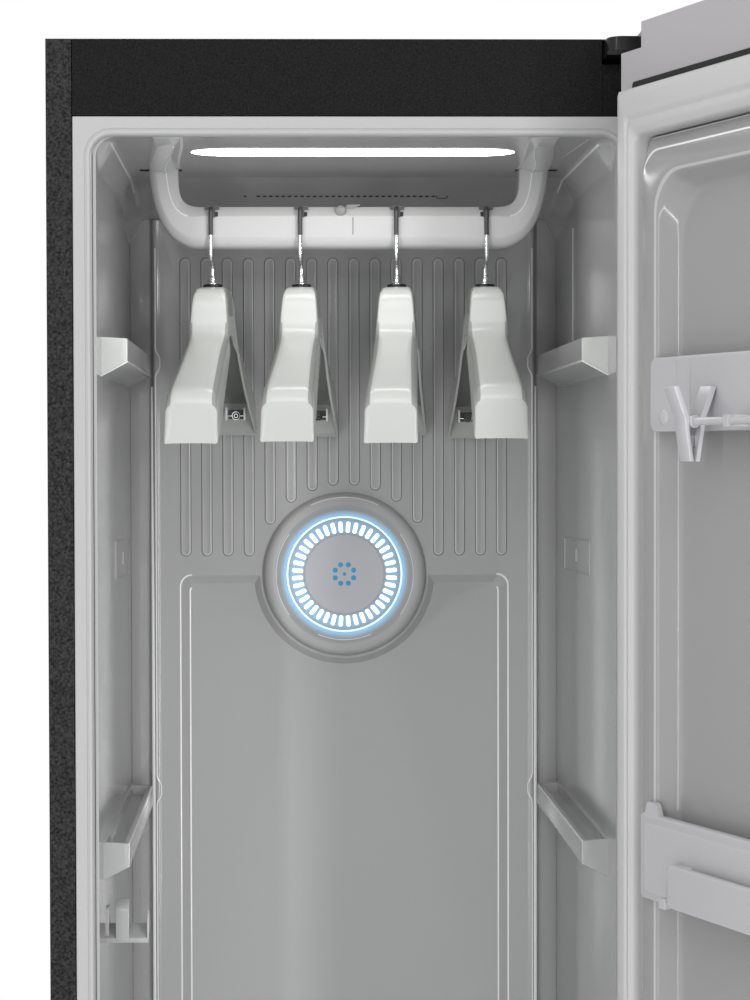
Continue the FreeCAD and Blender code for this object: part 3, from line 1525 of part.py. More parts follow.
holder = new_body("clip_holder")
holder_half = liner_half - well_inset + size.holder_bearing
holder_high = gasket_inner_top - size.holder_drop
rod_level = holder_high - size.rod_drop
holder_low = holder_high - size.holder_height
slab(holder, "holder_plate", "front",
     [rectangle(door_middle - holder_half, door_middle + holder_half,
                holder_low, holder_high)],
     crest_y, size.holder_thickness)
round_edges(holder, "holder_corners", as_size(8), lambda at, way: abs(way.y) > 0.9)
rod_y = size.hinge_forward + size.rod_stand
clip_half = size.clip_spacing / 2
rod_half = clip_half - size.clip_width / 2 + 8
post_near = crest_y + size.holder_thickness - 0.5
for name, side in (("left", -1), ("right", 1)):
    post_x = door_middle + side * (clip_half - size.clip_width)
    slab(holder, "holder_post_" + name, "side",
         [rectangle(post_near, rod_y + size.rod_radius + 2, rod_level - 6, rod_level + 6)],
         post_x - 4, as_size(8))
slab(holder, "holder_rod", "side", [Circle(rod_y, rod_level, size.rod_radius)],
     door_middle - clip_half - size.clip_width / 2 - 2, size.clip_spacing + size.clip_width + 4)
on_door("clip_holder", holder)

jaw_bore = size.rod_radius + size.running_clearance
eye_radius = jaw_bore + 2.5


def jaw(name, x, facing):
    """One half of a clip: an arm past the rod, with an eye round it; facing is +1 away from the door."""
    body = new_body(name)
    left = x - size.clip_width / 2
    edge = size.jaw_thickness / 2
    upper = (rod_y + facing * size.jaw_reach, rod_level + size.jaw_top)
    lower = (rod_y + facing * 1.2, rod_level - size.jaw_bottom)
    root = facing * (eye_radius + size.seat_gap)
    blade_loop = [
        upper,
        (upper[0] - facing * 2 * edge, upper[1]),
        (rod_y + root, rod_level + 4),
        (rod_y + root, rod_level - 8),
        lower,
        (lower[0] + facing * 2 * edge, lower[1]),
        (rod_y + root + facing * 2 * edge, rod_level - 6),
        (rod_y + root + facing * 2 * edge, rod_level + 2),
    ]
    slab(body, name + "_blade", "side", [blade_loop], left, size.clip_width)
    eye_left = left
    if facing < 0:
        eye_left = left + size.clip_width / 2 + size.seat_gap / 2
    eye_width = size.clip_width / 2 - size.seat_gap / 2
    neck = rectangle(rod_y, rod_y + root + facing, rod_level - 5, rod_level + 3)
    slab(body, name + "_eye", "side", [Circle(rod_y, rod_level, eye_radius)], eye_left,
         eye_width)
    slab(body, name + "_neck", "side", [neck], eye_left, eye_width)
    slab(body, name + "_bore", "side", [Circle(rod_y, rod_level, jaw_bore)], left - 1,
         size.clip_width + 2, cut=True)
    return body


clip_places = (("left", door_middle - clip_half), ("right", door_middle + clip_half))
rear_jaws = [jaw("rear_jaw_" + name, x, -1) for name, x in clip_places]
on_door("clip_jaws", group("clip_jaws", rear_jaws))
for name, x in clip_places:
    on_door("clip_lever_" + name, jaw("clip_lever_" + name, x, 1))

rack = new_body("press_rack")
rack_half = liner_half - well_inset + size.rack_bearing
rack_low = holder_high - size.rack_drop
bar_half = rack_half - size.bar_side
rack_top = rack_low + size.rack_height
slab(rack, "rack_band", "front",
     [rectangle(door_middle - rack_half, door_middle + rack_half,
                rack_low, rack_top)],
     crest_y, size.rack_thickness)
rack_front = crest_y + size.rack_thickness
bar_y = rack_front + size.bar_slot
pivot_z = rack_low + 6
pivot_y = bar_y + size.bar_thickness / 2
pin_radius = size.bar_thickness / 2 - 0.6
for name, side in (("left", -1), ("right", 1)):
    tab_x = door_middle + side * (rack_half - 18)
    slab(rack, "rack_tab_" + name, "front",
         [[(tab_x - 11, rack_top - 1), (tab_x + 11, rack_top - 1), (tab_x + 7, rack_top + 11),
           (tab_x - 7, rack_top + 11)]],
         crest_y, size.rack_thickness)
    ear_x = door_middle + side * (bar_half + 4 + size.seat_gap)
    slab(rack, "rack_ear_" + name, "side",
         [rectangle(rack_front - 0.5, pivot_y + 4, pivot_z - 4.5, pivot_z + 4.5)],
         ear_x - 4, as_size(8))
    slab(rack, "rack_ear_bore_" + name, "side",
         [Circle(pivot_y, pivot_z, pin_radius + size.running_clearance)], ear_x - 5, as_size(10),
         cut=True)
on_door("press_rack", rack)

bar = new_body("press_bar")
bar_low = rack_low + size.bar_lift
bar_high = rack_low + size.bar_height
slab(bar, "bar_strip", "front",
     [rectangle(door_middle - bar_half, door_middle + bar_half, bar_low, bar_high)],
     bar_y, size.bar_thickness)
cheek_depth = size.bar_slot - size.seat_gap
cheek_low = pivot_z + size.bar_cheek_rise
for name, side in (("left", -1), ("right", 1)):
    cheek = rectangle(door_middle + side * bar_half, door_middle + side * (bar_half - size.bar_cheek),
                      cheek_low, bar_high)
    slab(bar, "bar_cheek_" + name, "front", [cheek], bar_y - cheek_depth, cheek_depth + 1)
pin_reach = bar_half + size.bar_pin_length
slab(bar, "bar_pins", "side", [Circle(pivot_y, pivot_z, pin_radius)], door_middle - pin_reach,
     2 * pin_reach)
on_door("press_bar", bar)


# ---------------------------------------------------------------- checks and files

doc.recompute()
for thing in doc.Objects:
    if {"Invalid", "Error"} & set(thing.State):
        raise RuntimeError("%s failed: %s" % (thing.Label, thing.State))
os.makedirs("parts", exist_ok=True)
for piece in pieces:
    shape = piece.Shape
    if shape.isNull() or not shape.isValid() or not shape.Solids:
        raise RuntimeError("%s has no valid solid" % piece.Label)
for piece in pieces:
    piece.Shape.exportStep(os.path.join("parts", piece.Label + ".step"))
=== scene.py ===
import json
import math

import bmesh
import bpy
from bpy.props import FloatProperty, FloatVectorProperty, IntProperty, PointerProperty
from mathutils import Matrix, Vector


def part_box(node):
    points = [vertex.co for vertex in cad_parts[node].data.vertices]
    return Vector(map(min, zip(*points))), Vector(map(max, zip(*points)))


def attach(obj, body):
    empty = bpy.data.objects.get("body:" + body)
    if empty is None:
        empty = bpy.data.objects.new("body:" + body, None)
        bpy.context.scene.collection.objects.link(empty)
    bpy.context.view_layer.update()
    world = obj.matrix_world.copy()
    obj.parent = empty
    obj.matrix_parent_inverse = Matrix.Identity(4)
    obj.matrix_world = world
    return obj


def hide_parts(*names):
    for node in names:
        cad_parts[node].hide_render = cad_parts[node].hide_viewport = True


bl_info = {
    "name": "Clothes Care Cabinet",
    "version": (1, 0, 0),
    "blender": (4, 5, 0),
    "location": "View3D > Sidebar > Cabinet",
    "description": "Builds the visible pieces and finishes of a clothes care steam cabinet round its frame",
    "category": "Add Mesh",
}

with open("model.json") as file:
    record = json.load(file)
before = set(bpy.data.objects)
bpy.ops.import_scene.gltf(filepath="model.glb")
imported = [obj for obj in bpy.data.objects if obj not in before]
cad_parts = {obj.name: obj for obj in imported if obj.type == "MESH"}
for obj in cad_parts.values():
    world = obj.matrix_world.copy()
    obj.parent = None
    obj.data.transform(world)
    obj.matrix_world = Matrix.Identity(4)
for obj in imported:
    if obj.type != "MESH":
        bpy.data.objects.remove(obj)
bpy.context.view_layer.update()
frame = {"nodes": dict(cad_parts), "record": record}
MM = 0.001


def box_mm(node):
    """Lowest and highest corner of a frame node, in millimetres."""
    low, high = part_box(node)
    return Vector(low) / MM, Vector(high) / MM


def middle_of(node):
    """Middle of a frame node's box, in millimetres."""
    low, high = box_mm(node)
    return (low + high) / 2


CASE_LOW, CASE_HIGH = box_mm("opening_trim")
FRONT = CASE_LOW.y
ROOM_LOW, ROOM_HIGH = box_mm("liner")
CEILING_LOW, CEILING_HIGH = box_mm("ceiling")
DUCT_LOW, DUCT_HIGH = box_mm("duct_cover")
RAIL_LOW, RAIL_HIGH = box_mm("hanger_rail")
BEZEL_LOW, BEZEL_HIGH = box_mm("ring_bezel")
LENS_LOW, LENS_HIGH = box_mm("lamp_lens")
FLOOR_TOP = box_mm("cabin_floor")[1].z
OUTLET = Vector((0.0, BEZEL_HIGH.y, (BEZEL_LOW.z + BEZEL_HIGH.z) / 2))
WALL = 3.0
CABIN_HALF = ROOM_HIGH.x - WALL
CEILING = CEILING_HIGH.z - WALL
DUCT_FRONT = BEZEL_HIGH.y
HINGE = next(Vector(joint["pos_m"]) / MM for joint in frame["record"]["behaviour"]["joints"]
             if joint["name"] == "door_swing")
DOOR_SWING = math.radians(114.0)
DOOR_PLACE = Matrix.Translation((HINGE.x, HINGE.y, 0)) @ Matrix.Rotation(DOOR_SWING, 4, "Z")
DOOR_MIDDLE = -283.0
PANEL_CREST = 54.5
CLIP_ROD_Y, CLIP_ROD_Z = 82.5, 1586.0
LEDGE_TOPS = {"upper_ledges": 1677.0, "lower_ledges": 1172.0}
LEDGE_NEAR, LEDGE_LENGTH = FRONT + 60.0, 372.0
LEDGE_REACH, LEDGE_TIP = 27.0, 10.0
LEDGE_FACE, LEDGE_ROOT = 25.5, 39.0
ARC = 8
GRAIN_DEPTH = 0.0002
HANGERS = (1, 2, 3, 4)
FINISHES = {}


# ---------------------------------------------------------------- settings


def colour(name, description, default):
    return FloatVectorProperty(name=name, description=description, default=default, size=3,
                               subtype="COLOR", min=0.0, max=1.0)


def length(name, description, default):
    return FloatProperty(name=name, description=description, default=default, min=0.0,
                         subtype="DISTANCE", unit="LENGTH")


class CabinetColours(bpy.types.PropertyGroup):
    case_paint: colour("Case paint", "Charcoal powder paint of the sides and top", (0.017, 0.017, 0.0175))
    band_plastic: colour("Band plastic", "Grained black band above the opening", (0.0075, 0.0075, 0.008))
    frame_metal: colour("Frame metal", "Satin frame round the cabin's mouth", (0.405, 0.402, 0.402))
    cabin_plastic: colour("Cabin plastic", "Moulded walls, ceiling and duct cover", (0.42, 0.42, 0.418))
    rail_plastic: colour("Rail plastic", "Hanger rail and its shoulders", (0.54, 0.54, 0.54))
    hanger_plastic: colour("Hanger plastic", "Off-white hangers", (0.51, 0.523, 0.50))
    door_metal: colour("Door metal", "Painted steel inside of the door's edge", (0.44, 0.42, 0.43))
    door_plastic: colour("Door plastic", "Moulded inner panel of the door", (0.34, 0.335, 0.335))
    clip_plastic: colour("Clip plastic", "Clips, holder and press rack", (0.50, 0.49, 0.505))
    seal_rubber: colour("Seal rubber", "Soft seal round the door", (0.55, 0.54, 0.535))
    lamp_white: colour("Lamp white", "Light of the ceiling lamp", (1.0, 0.99, 0.97))
    outlet_blue: colour("Outlet blue", "Light of the round outlet", (0.25, 0.62, 1.0))
    tank_plastic: colour("Tank plastic", "Smoky tanks", (0.10, 0.11, 0.12))
    floor: colour("Floor", "Plain floor under the cabinet", (0.86, 0.86, 0.86))


class CabinetSizes(bpy.types.PropertyGroup):
    mouth_radius: length("Mouth radius", "Rounding of the frame's upper corners", 0.019)
    corner_slant: length("Corner slant", "Height of the slanted corners between walls and ceiling", 0.027)
    frame_bead: length("Frame bead", "Width of the stepped bead inside the frame", 0.0075)
    rib_width: length("Rib width", "Width of one rib of the duct cover", 0.0123)
    rib_pitch: length("Rib pitch", "Distance from rib to rib", 0.0249)
    rib_height: length("Rib height", "How far a rib stands out", 0.0026)
    rib_count: IntProperty(name="Ribs", description="Ribs on the duct cover", default=16, min=2)
    panel_sink: length("Panel sink", "Depth of the sunk panel of the duct cover", 0.006)
    slot_count: IntProperty(name="Outlet lights", description="Lit slots of the round outlet",
                            default=40, min=4)
    neck_width: length("Hanger neck width", "Width of a hanger at its neck", 0.042)
    tip_width: length("Hanger tip width", "Width of a hanger at its ends", 0.0545)
    seal_width: length("Seal width", "Width of the door's seal at its sides", 0.030)


class CabinetStage(bpy.types.PropertyGroup):
    key: FloatProperty(name="High light", description="Power of the soft light high in front",
                       default=23.0, min=0.0, subtype="POWER", unit="POWER")
    left: FloatProperty(name="Left light", description="Power of the narrow upright light on the left",
                        default=17.0, min=0.0, subtype="POWER", unit="POWER")
    right: FloatProperty(name="Right light", description="Power of the narrow upright light on the right",
                         default=40.0, min=0.0, subtype="POWER", unit="POWER")
    room: FloatProperty(name="Room light", description="Strength of the even light all round",
                        default=0.84, min=0.0)
    lens: FloatProperty(name="Lens", description="Focal length", default=74.28, min=1.0, unit="CAMERA")


# ---------------------------------------------------------------- finishes


def new_group(name, inputs, outputs):
    """An empty shader group with its sockets; returns the tree, its input node and its output node."""
    tree = bpy.data.node_groups.new(name, "ShaderNodeTree")
    for kind, label, default in inputs:
        socket = tree.interface.new_socket(name=label, in_out="INPUT", socket_type=kind)
        if default is not None:
            socket.default_value = default
    for kind, label in outputs:
        tree.interface.new_socket(name=label, in_out="OUTPUT", socket_type=kind)
    return tree, tree.nodes.new("NodeGroupInput"), tree.nodes.new("NodeGroupOutput")


def add_node(tree, kind, links=None, **settings):
    """A node with its settings; links maps its input names or numbers to sockets or values."""
    node = tree.nodes.new(kind)
    for key, value in settings.items():
        setattr(node, key, value)
    for key, value in (links or {}).items():
        if isinstance(value, bpy.types.NodeSocket):
            tree.links.new(value, node.inputs[key])
        else:
            node.inputs[key].default_value = value
    return node


def math_node(tree, operation, first, second):
    """The result of one sum on two sockets or values."""
    return add_node(tree, "ShaderNodeMath", {0: first, 1: second}, operation=operation).outputs[0]


def moulded_group():
    """Satin moulding or paint: slow drift of tone, uneven gloss and a fine grain."""
    tree, source, result = new_group("Moulded surface", [
        ("NodeSocketVector", "Vector", None),
        ("NodeSocketColor", "Colour", (0.5, 0.5, 0.5, 1)),
        ("NodeSocketFloat", "Drift", 0.04),
        ("NodeSocketFloat", "Roughness", 0.3),
        ("NodeSocketFloat", "Gloss spread", 0.06),
        ("NodeSocketFloat", "Grain scale", 900.0),
        ("NodeSocketFloat", "Fleck", 0.0),
    ], [("NodeSocketColor", "Colour"), ("NodeSocketFloat", "Roughness"), ("NodeSocketFloat", "Height")])
    ask = source.outputs
    slow = add_node(tree, "ShaderNodeTexNoise", {"Vector": ask["Vector"], "Scale": 5.0, "Detail": 3.0})
    fine = add_node(tree, "ShaderNodeTexNoise",
                    {"Vector": ask["Vector"], "Scale": ask["Grain scale"], "Detail": 2.0})
    cloud = math_node(tree, "SUBTRACT", slow.outputs["Fac"], 0.5)
    tone = math_node(tree, "MULTIPLY_ADD", cloud, ask["Drift"])
    tone.node.inputs[2].default_value = 1.0
    speck = math_node(tree, "SUBTRACT", fine.outputs["Fac"], 0.5)
    tone_fleck = math_node(tree, "MULTIPLY_ADD", speck, ask["Fleck"])
    tree.links.new(tone, tone_fleck.node.inputs[2])
    paint = add_node(tree, "ShaderNodeVectorMath", {0: ask["Colour"]}, operation="SCALE")
    tree.links.new(tone_fleck, paint.inputs["Scale"])
    gloss = math_node(tree, "MULTIPLY_ADD", cloud, ask["Gloss spread"])
    tree.links.new(ask["Roughness"], gloss.node.inputs[2])
    tree.links.new(paint.outputs[0], result.inputs["Colour"])
    tree.links.new(gloss, result.inputs["Roughness"])
    tree.links.new(fine.outputs["Fac"], result.inputs["Height"])
    return tree


def brushed_group():
    """Brushed or rolled metal: fine lines along one way of the piece."""
    tree, source, result = new_group("Brushed metal", [
        ("NodeSocketVector", "Vector", None),
        ("NodeSocketVector", "Lines", (20.0, 900.0, 900.0)),
        ("NodeSocketColor", "Colour", (0.6, 0.6, 0.6, 1)),
        ("NodeSocketFloat", "Drift", 0.15),
        ("NodeSocketFloat", "Roughness", 0.3),
    ], [("NodeSocketColor", "Colour"), ("NodeSocketFloat", "Roughness"), ("NodeSocketFloat", "Height")])
    ask = source.outputs
    stretch = add_node(tree, "ShaderNodeVectorMath", {0: ask["Vector"], 1: ask["Lines"]},
                       operation="MULTIPLY")
    lines = add_node(tree, "ShaderNodeTexNoise",
                     {"Vector": stretch.outputs[0], "Scale": 1.0, "Detail": 4.0})
    swing = math_node(tree, "SUBTRACT", lines.outputs["Fac"], 0.5)
    tone = math_node(tree, "MULTIPLY_ADD", swing, ask["Drift"])
    tone.node.inputs[2].default_value = 1.0
    paint = add_node(tree, "ShaderNodeVectorMath", {0: ask["Colour"]}, operation="SCALE")
    tree.links.new(tone, paint.inputs["Scale"])
    gloss = math_node(tree, "MULTIPLY_ADD", swing, 0.2)
    tree.links.new(ask["Roughness"], gloss.node.inputs[2])
    tree.links.new(paint.outputs[0], result.inputs["Colour"])
    tree.links.new(gloss, result.inputs["Roughness"])
    tree.links.new(lines.outputs["Fac"], result.inputs["Height"])
    return tree


def blank_material(name):
    material = bpy.data.materials.new(name)
    material.use_nodes = True
    shader = material.node_tree.nodes["Principled BSDF"]
    return material, material.node_tree, shader


def dressed(name, group, bump, **values):
    """A material that wears one of the shared groups; returns its shader."""
    material, tree, shader = blank_material(name)
    place = add_node(tree, "ShaderNodeTexCoord")
    surface = add_node(tree, "ShaderNodeGroup", node_tree=bpy.data.node_groups[group])
    tree.links.new(place.outputs["Object"], surface.inputs["Vector"])
    for key, value in values.items():
        surface.inputs[key.replace("_", " ")].default_value = value
    relief = add_node(tree, "ShaderNodeBump", {"Strength": bump, "Distance": GRAIN_DEPTH,
                                               "Height": surface.outputs["Height"]})
    tree.links.new(surface.outputs["Colour"], shader.inputs["Base Color"])
    tree.links.new(surface.outputs["Roughness"], shader.inputs["Roughness"])
    tree.links.new(relief.outputs["Normal"], shader.inputs["Normal"])
    FINISHES[name] = material
    return shader


def moulded(name, tint, roughness, drift=0.04, spread=0.04, grain=900.0, bump=0.05, fleck=0.0,
            coat=0.0, shine=0.5):
    """A painted or moulded finish."""
    shader = dressed(name, "Moulded surface", bump, Colour=(*tint, 1), Drift=drift, Roughness=roughness,
                     Gloss_spread=spread, Grain_scale=grain, Fleck=fleck)
    shader.inputs["Specular IOR Level"].default_value = shine
    shader.inputs["Coat Weight"].default_value = coat


def brushed(name, tint, roughness, lines=(20.0, 900.0, 900.0), drift=0.15, bump=0.04):
    """A bare metal finish."""
    shader = dressed(name, "Brushed metal", bump, Lines=lines, Colour=(*tint, 1), Drift=drift,
                     Roughness=roughness)
    shader.inputs["Metallic"].default_value = 1.0


def glowing(name, tint, strength, edge=0.85):
    """A lit diffuser: its light is a little uneven along its length."""
    material, tree, shader = blank_material(name)
    place = add_node(tree, "ShaderNodeTexCoord")
    cloud = add_node(tree, "ShaderNodeTexNoise", {"Vector": place.outputs["Object"], "Scale": 18.0})
    level = add_node(tree, "ShaderNodeMapRange",
                     {"Value": cloud.outputs["Fac"], "To Min": edge, "To Max": 1.0})
    light = add_node(tree, "ShaderNodeVectorMath", {0: tint}, operation="SCALE")
    tree.links.new(level.outputs["Result"], light.inputs["Scale"])
    tree.links.new(light.outputs[0], shader.inputs["Emission Color"])
    tree.links.new(light.outputs[0], shader.inputs["Base Color"])
    shader.inputs["Emission Strength"].default_value = strength
    shader.inputs["Roughness"].default_value = 0.4
    FINISHES[name] = material


def outlet_glow(name, grey, blue, reach_mid, full, faded, strength):
    """Grey plastic that glows blue round the outlet, full near one radius and faded out beside it."""
    material, tree, shader = blank_material(name)
    place = add_node(tree, "ShaderNodeTexCoord")
    centre = add_node(tree, "ShaderNodeVectorMath",
                      {0: place.outputs["Object"], 1: (0.0, OUTLET.y * MM, OUTLET.z * MM)},
                      operation="SUBTRACT")
    flat = add_node(tree, "ShaderNodeVectorMath", {0: centre.outputs[0], 1: (1.0, 0.0, 1.0)},
                    operation="MULTIPLY")
    reach = add_node(tree, "ShaderNodeVectorMath", {0: flat.outputs[0]}, operation="LENGTH")
    off = math_node(tree, "SUBTRACT", reach.outputs["Value"], reach_mid)
    near = math_node(tree, "ABSOLUTE", off, 0.0)
    glow = add_node(tree, "ShaderNodeMapRange",
                    {"Value": near, "From Min": full, "From Max": faded, "To Min": 1.0, "To Max": 0.0},
                    interpolation_type="SMOOTHSTEP")
    light = add_node(tree, "ShaderNodeVectorMath", {0: blue}, operation="SCALE")
    tree.links.new(glow.outputs["Result"], light.inputs["Scale"])
    tone = add_node(tree, "ShaderNodeMix", {"Factor": glow.outputs["Result"]}, data_type="RGBA")
    tone.inputs["A"].default_value = (*grey, 1)
    tone.inputs["B"].default_value = (*[(a + b) / 2 for a, b in zip(grey, blue)], 1)
    tree.links.new(tone.outputs["Result"], shader.inputs["Base Color"])
    tree.links.new(light.outputs[0], shader.inputs["Emission Color"])
    shader.inputs["Emission Strength"].default_value = strength
    shader.inputs["Roughness"].default_value = 0.35
    FINISHES[name] = material


def hook_finish(name, level):
    """A chromed wire whose upper end, down to a level in metres, is painted dark and dull: painted shade
    where it sits in the rail's slot.
    """
    material, tree, shader = blank_material(name)
    place = add_node(tree, "ShaderNodeTexCoord")
    split = add_node(tree, "ShaderNodeSeparateXYZ", {"Vector": place.outputs["Object"]})
    painted_shade_mask = add_node(tree, "ShaderNodeMapRange",
                      {"Value": split.outputs["Z"], "From Min": level - 0.0006, "From Max": level + 0.0006})
    scuff = add_node(tree, "ShaderNodeTexNoise", {"Vector": place.outputs["Object"], "Scale": 300.0})
    tone = add_node(tree, "ShaderNodeMix", {"Factor": painted_shade_mask.outputs["Result"]}, data_type="RGBA")
    tone.inputs["A"].default_value = (0.86, 0.87, 0.88, 1)
    tone.inputs["B"].default_value = (0.05, 0.05, 0.052, 1)
    # Bare chrome below the painted shade.
    bare = math_node(tree, "SUBTRACT", 1.0, painted_shade_mask.outputs["Result"])
    rough = math_node(tree, "MULTIPLY_ADD", painted_shade_mask.outputs["Result"], 0.3)
    small = math_node(tree, "MULTIPLY", scuff.outputs["Fac"], 0.12)
    tree.links.new(small, rough.node.inputs[2])
    tree.links.new(tone.outputs["Result"], shader.inputs["Base Color"])
    tree.links.new(bare, shader.inputs["Metallic"])
    tree.links.new(rough, shader.inputs["Roughness"])
    FINISHES[name] = material


def build_finishes():
    tints = bpy.context.scene.cabinet_colours
    moulded_group()
    brushed_group()
    moulded("charcoal_paint", tints.case_paint, 0.55, grain=420.0, bump=0.6, fleck=5.0, shine=0.16)
    moulded("grained_black", tints.band_plastic, 0.5, grain=560.0, bump=0.5, fleck=3.0, shine=0.08)
    moulded("smooth_black", (0.008, 0.008, 0.009), 0.25, grain=300.0, bump=0.02, shine=0.35)
    moulded("frame_satin", tints.frame_metal, 0.28, drift=0.03, spread=0.02, grain=500.0, bump=0.02)
    moulded("cabin_moulding", tints.cabin_plastic, 0.13, drift=0.03, spread=0.015, grain=420.0, bump=0.012)
    # Pale finish: painted highlight lines on beads, creases and edges; it is also the own white of the
    # skirt clips' posts.
    moulded("white_and_painted_highlight", (0.86, 0.86, 0.86), 0.12, drift=0.02, spread=0.01)
    # Dimmer painted highlight lines on the ribs' edges and the ledges' lower edges.
    moulded("dim_painted_highlight", (0.62, 0.62, 0.62), 0.15, drift=0.02, spread=0.01)
    # Soft painted highlight line on the door panel.
    moulded("soft_painted_highlight", (0.50, 0.50, 0.50), 0.15, drift=0.02, spread=0.01)
    # Half-tone cabin plastic: painted shade round the foot of each rib.
    moulded("rib_painted_shade", [c * 0.5 for c in tints.cabin_plastic], 0.3, drift=0.02, spread=0.01)
    # Near-black painted shade in the ceiling slots, vents, rail holes and the gap behind the door seal.
    moulded("painted_gap_shade", (0.02, 0.02, 0.02), 0.8)
    # Dark grey: painted shade in the rail's notches and behind the skirt clip posts, and a thin dark strip
    # by the latch.
    moulded("dark_joint_and_painted_shade", (0.09, 0.09, 0.09), 0.6)
    moulded("latch_grey", (0.24, 0.24, 0.24), 0.4)
    moulded("rail_moulding", tints.rail_plastic, 0.16, drift=0.03, spread=0.015, grain=320.0, bump=0.01)
    moulded("hanger_moulding", tints.hanger_plastic, 0.24, drift=0.02, spread=0.015, grain=400.0, bump=0.01)
    # Half-tone hanger plastic: painted shade inside the hangers' hollow undersides.
    moulded("hanger_inside", [c * 0.5 for c in tints.hanger_plastic], 0.4, drift=0.04)
    # Slightly darker hanger plastic: painted shade on the hangers' end faces.
    moulded("hanger_end", [c * 0.95 for c in tints.hanger_plastic], 0.24, drift=0.02, spread=0.015)
    moulded("disc_moulding", (0.57, 0.58, 0.615), 0.22, drift=0.03, spread=0.02)
    # Paler finish for the upper ledges' forward faces: painted light.
    moulded("ledge_front_painted_light", (0.60, 0.61, 0.59), 0.3, drift=0.03, grain=400.0, bump=0.01)
    moulded("door_metal", tints.door_metal, 0.45, drift=0.03, spread=0.02, grain=700.0, bump=0.04)
    moulded("door_moulding", tints.door_plastic, 0.13, drift=0.03, spread=0.015, grain=420.0, bump=0.012)
    moulded("clip_moulding", tints.clip_plastic, 0.2, drift=0.03, spread=0.015, grain=400.0, bump=0.01)
    moulded("seal_rubber", tints.seal_rubber, 0.4, drift=0.03, spread=0.02, grain=600.0, bump=0.02)
    moulded("back_glass", (0.012, 0.013, 0.015), 0.06, drift=0.02, grain=80.0, bump=0.0, coat=0.6)
    moulded("tank_smoke", tints.tank_plastic, 0.18, drift=0.08, grain=200.0, bump=0.02, coat=0.3)
    moulded("filter_frame", (0.10, 0.11, 0.12), 0.4, grain=500.0, bump=0.08)
    moulded("black_enamel", (0.012, 0.012, 0.012), 0.25, grain=200.0, bump=0.12)
    moulded("foot_rubber", (0.02, 0.02, 0.02), 0.75, grain=900.0, bump=0.3)
    moulded("heat_plastic", (0.42, 0.42, 0.40), 0.5, grain=600.0, bump=0.1)
    moulded("circuit_board", (0.02, 0.12, 0.05), 0.4, fleck=0.6, grain=350.0)
    moulded("cap_moulding", tints.cabin_plastic, 0.2, drift=0.04, spread=0.02, grain=900.0, bump=0.02)
    brushed("zinc_sheet", (0.55, 0.56, 0.57), 0.38, lines=(60.0, 60.0, 12.0), drift=0.3)
    brushed("bright_steel", (0.72, 0.72, 0.73), 0.25)
    brushed("brass", (0.78, 0.58, 0.28), 0.28)
    brushed("fin_metal", (0.70, 0.71, 0.72), 0.35, lines=(900.0, 900.0, 30.0))
    brushed("chrome", (0.88, 0.88, 0.9), 0.06, drift=0.03, bump=0.0)
    glowing("lamp_light", tints.lamp_white, 7.5, edge=0.95)
    glowing("slot_light", (0.9, 0.98, 1.0), 1.35)
    glowing("rim_light", (0.62, 0.88, 1.0), 1.05)
    glowing("dot_light", (0.03, 0.24, 0.45), 0.4)
    outlet_glow("outlet_glow", tints.cabin_plastic, tints.outlet_blue, 0.0565, 0.0045, 0.0105, 0.16)
    # The bezel is no lamp: its blue glow near the inner edge is painted light, spilt from the ring.
    outlet_glow("bezel_painted_glow", tints.cabin_plastic, tints.outlet_blue, 0.067, 0.0015, 0.0105, 0.35)
    # Hooks: chrome with painted shade on the upper end of the wire, in the rail's slot.
    hook_finish("hook_finish", RAIL_LOW.z * MM + 0.012)


# ---------------------------------------------------------------- mesh helpers


def corner_arc(centre_a, centre_b, radius, start, steps):
    """Points of a quarter turn about a centre, from an angle in degrees."""
    return [(centre_a + radius * math.cos(math.radians(start + 90 * i / steps)),
             centre_b + radius * math.sin(math.radians(start + 90 * i / steps)))
            for i in range(steps + 1)]


def round_rectangle(left, right, low, high, radii, steps=6):
    """A rounded rectangle's points; radii are for low left, low right, high right and high left."""
    if not isinstance(radii, (tuple, list)):
        radii = (radii,) * 4
    radii = [max(radius, 0.02) for radius in radii]
    points = corner_arc(left + radii[0], low + radii[0], radii[0], 180, steps)
    points += corner_arc(right - radii[1], low + radii[1], radii[1], 270, steps)
    points += corner_arc(right - radii[2], high - radii[2], radii[2], 0, steps)
    points += corner_arc(left + radii[3], high - radii[3], radii[3], 90, steps)
    return points


def capsule(x, low, high, radius, steps=7):
    """A slot's outline, round at both ends."""
    return round_rectangle(x - radius, x + radius, low, high, radius, steps)


def upright(points, y):
    """Loop points given as x and z, stood at one depth."""
    return [Vector((a, y, b)) for a, b in points]


def sideways(points, x):
    """Loop points given as y and z, at one x."""
    return [Vector((x, a, b)) for a, b in points]


def level(points, z):
    """Loop points given as x and y, at one height."""
    return [Vector((a, b, z)) for a, b in points]


def ring(bm, points, closed=True):
    """A chain of edges through points."""
    verts = [bm.verts.new(point) for point in points]
    ends = verts[1:] + verts[:1] if closed else verts[1:]
    return [bm.edges.new(pair) for pair in zip(verts, ends)]


def join_rings(bm, loops, material=0, bands=None):
    """Bridge each loop to the next and fill both ends; bands gives single bridges another finish."""
    chains = [ring(bm, loop) for loop in loops]
    made = []
    for number, (near, far) in enumerate(zip(chains, chains[1:])):
        faces = bmesh.ops.bridge_loops(bm, edges=near + far)["faces"]
        for face in faces:
            face.material_index = (bands or {}).get(number, material)
        made += faces
    for chain in (chains[0], chains[-1]):
        ends = bmesh.ops.contextual_create(bm, geom=chain)["faces"]
        for face in ends:
            face.material_index = material
        made += ends
    return made


def closed_tube(bm, loops):
    """Bridge loops one to the next and the last to the first: a frame with a wall all round."""
    chains = [ring(bm, loop) for loop in loops]
    for near, far in zip(chains, chains[1:] + chains[:1]):
        bmesh.ops.bridge_loops(bm, edges=near + far)


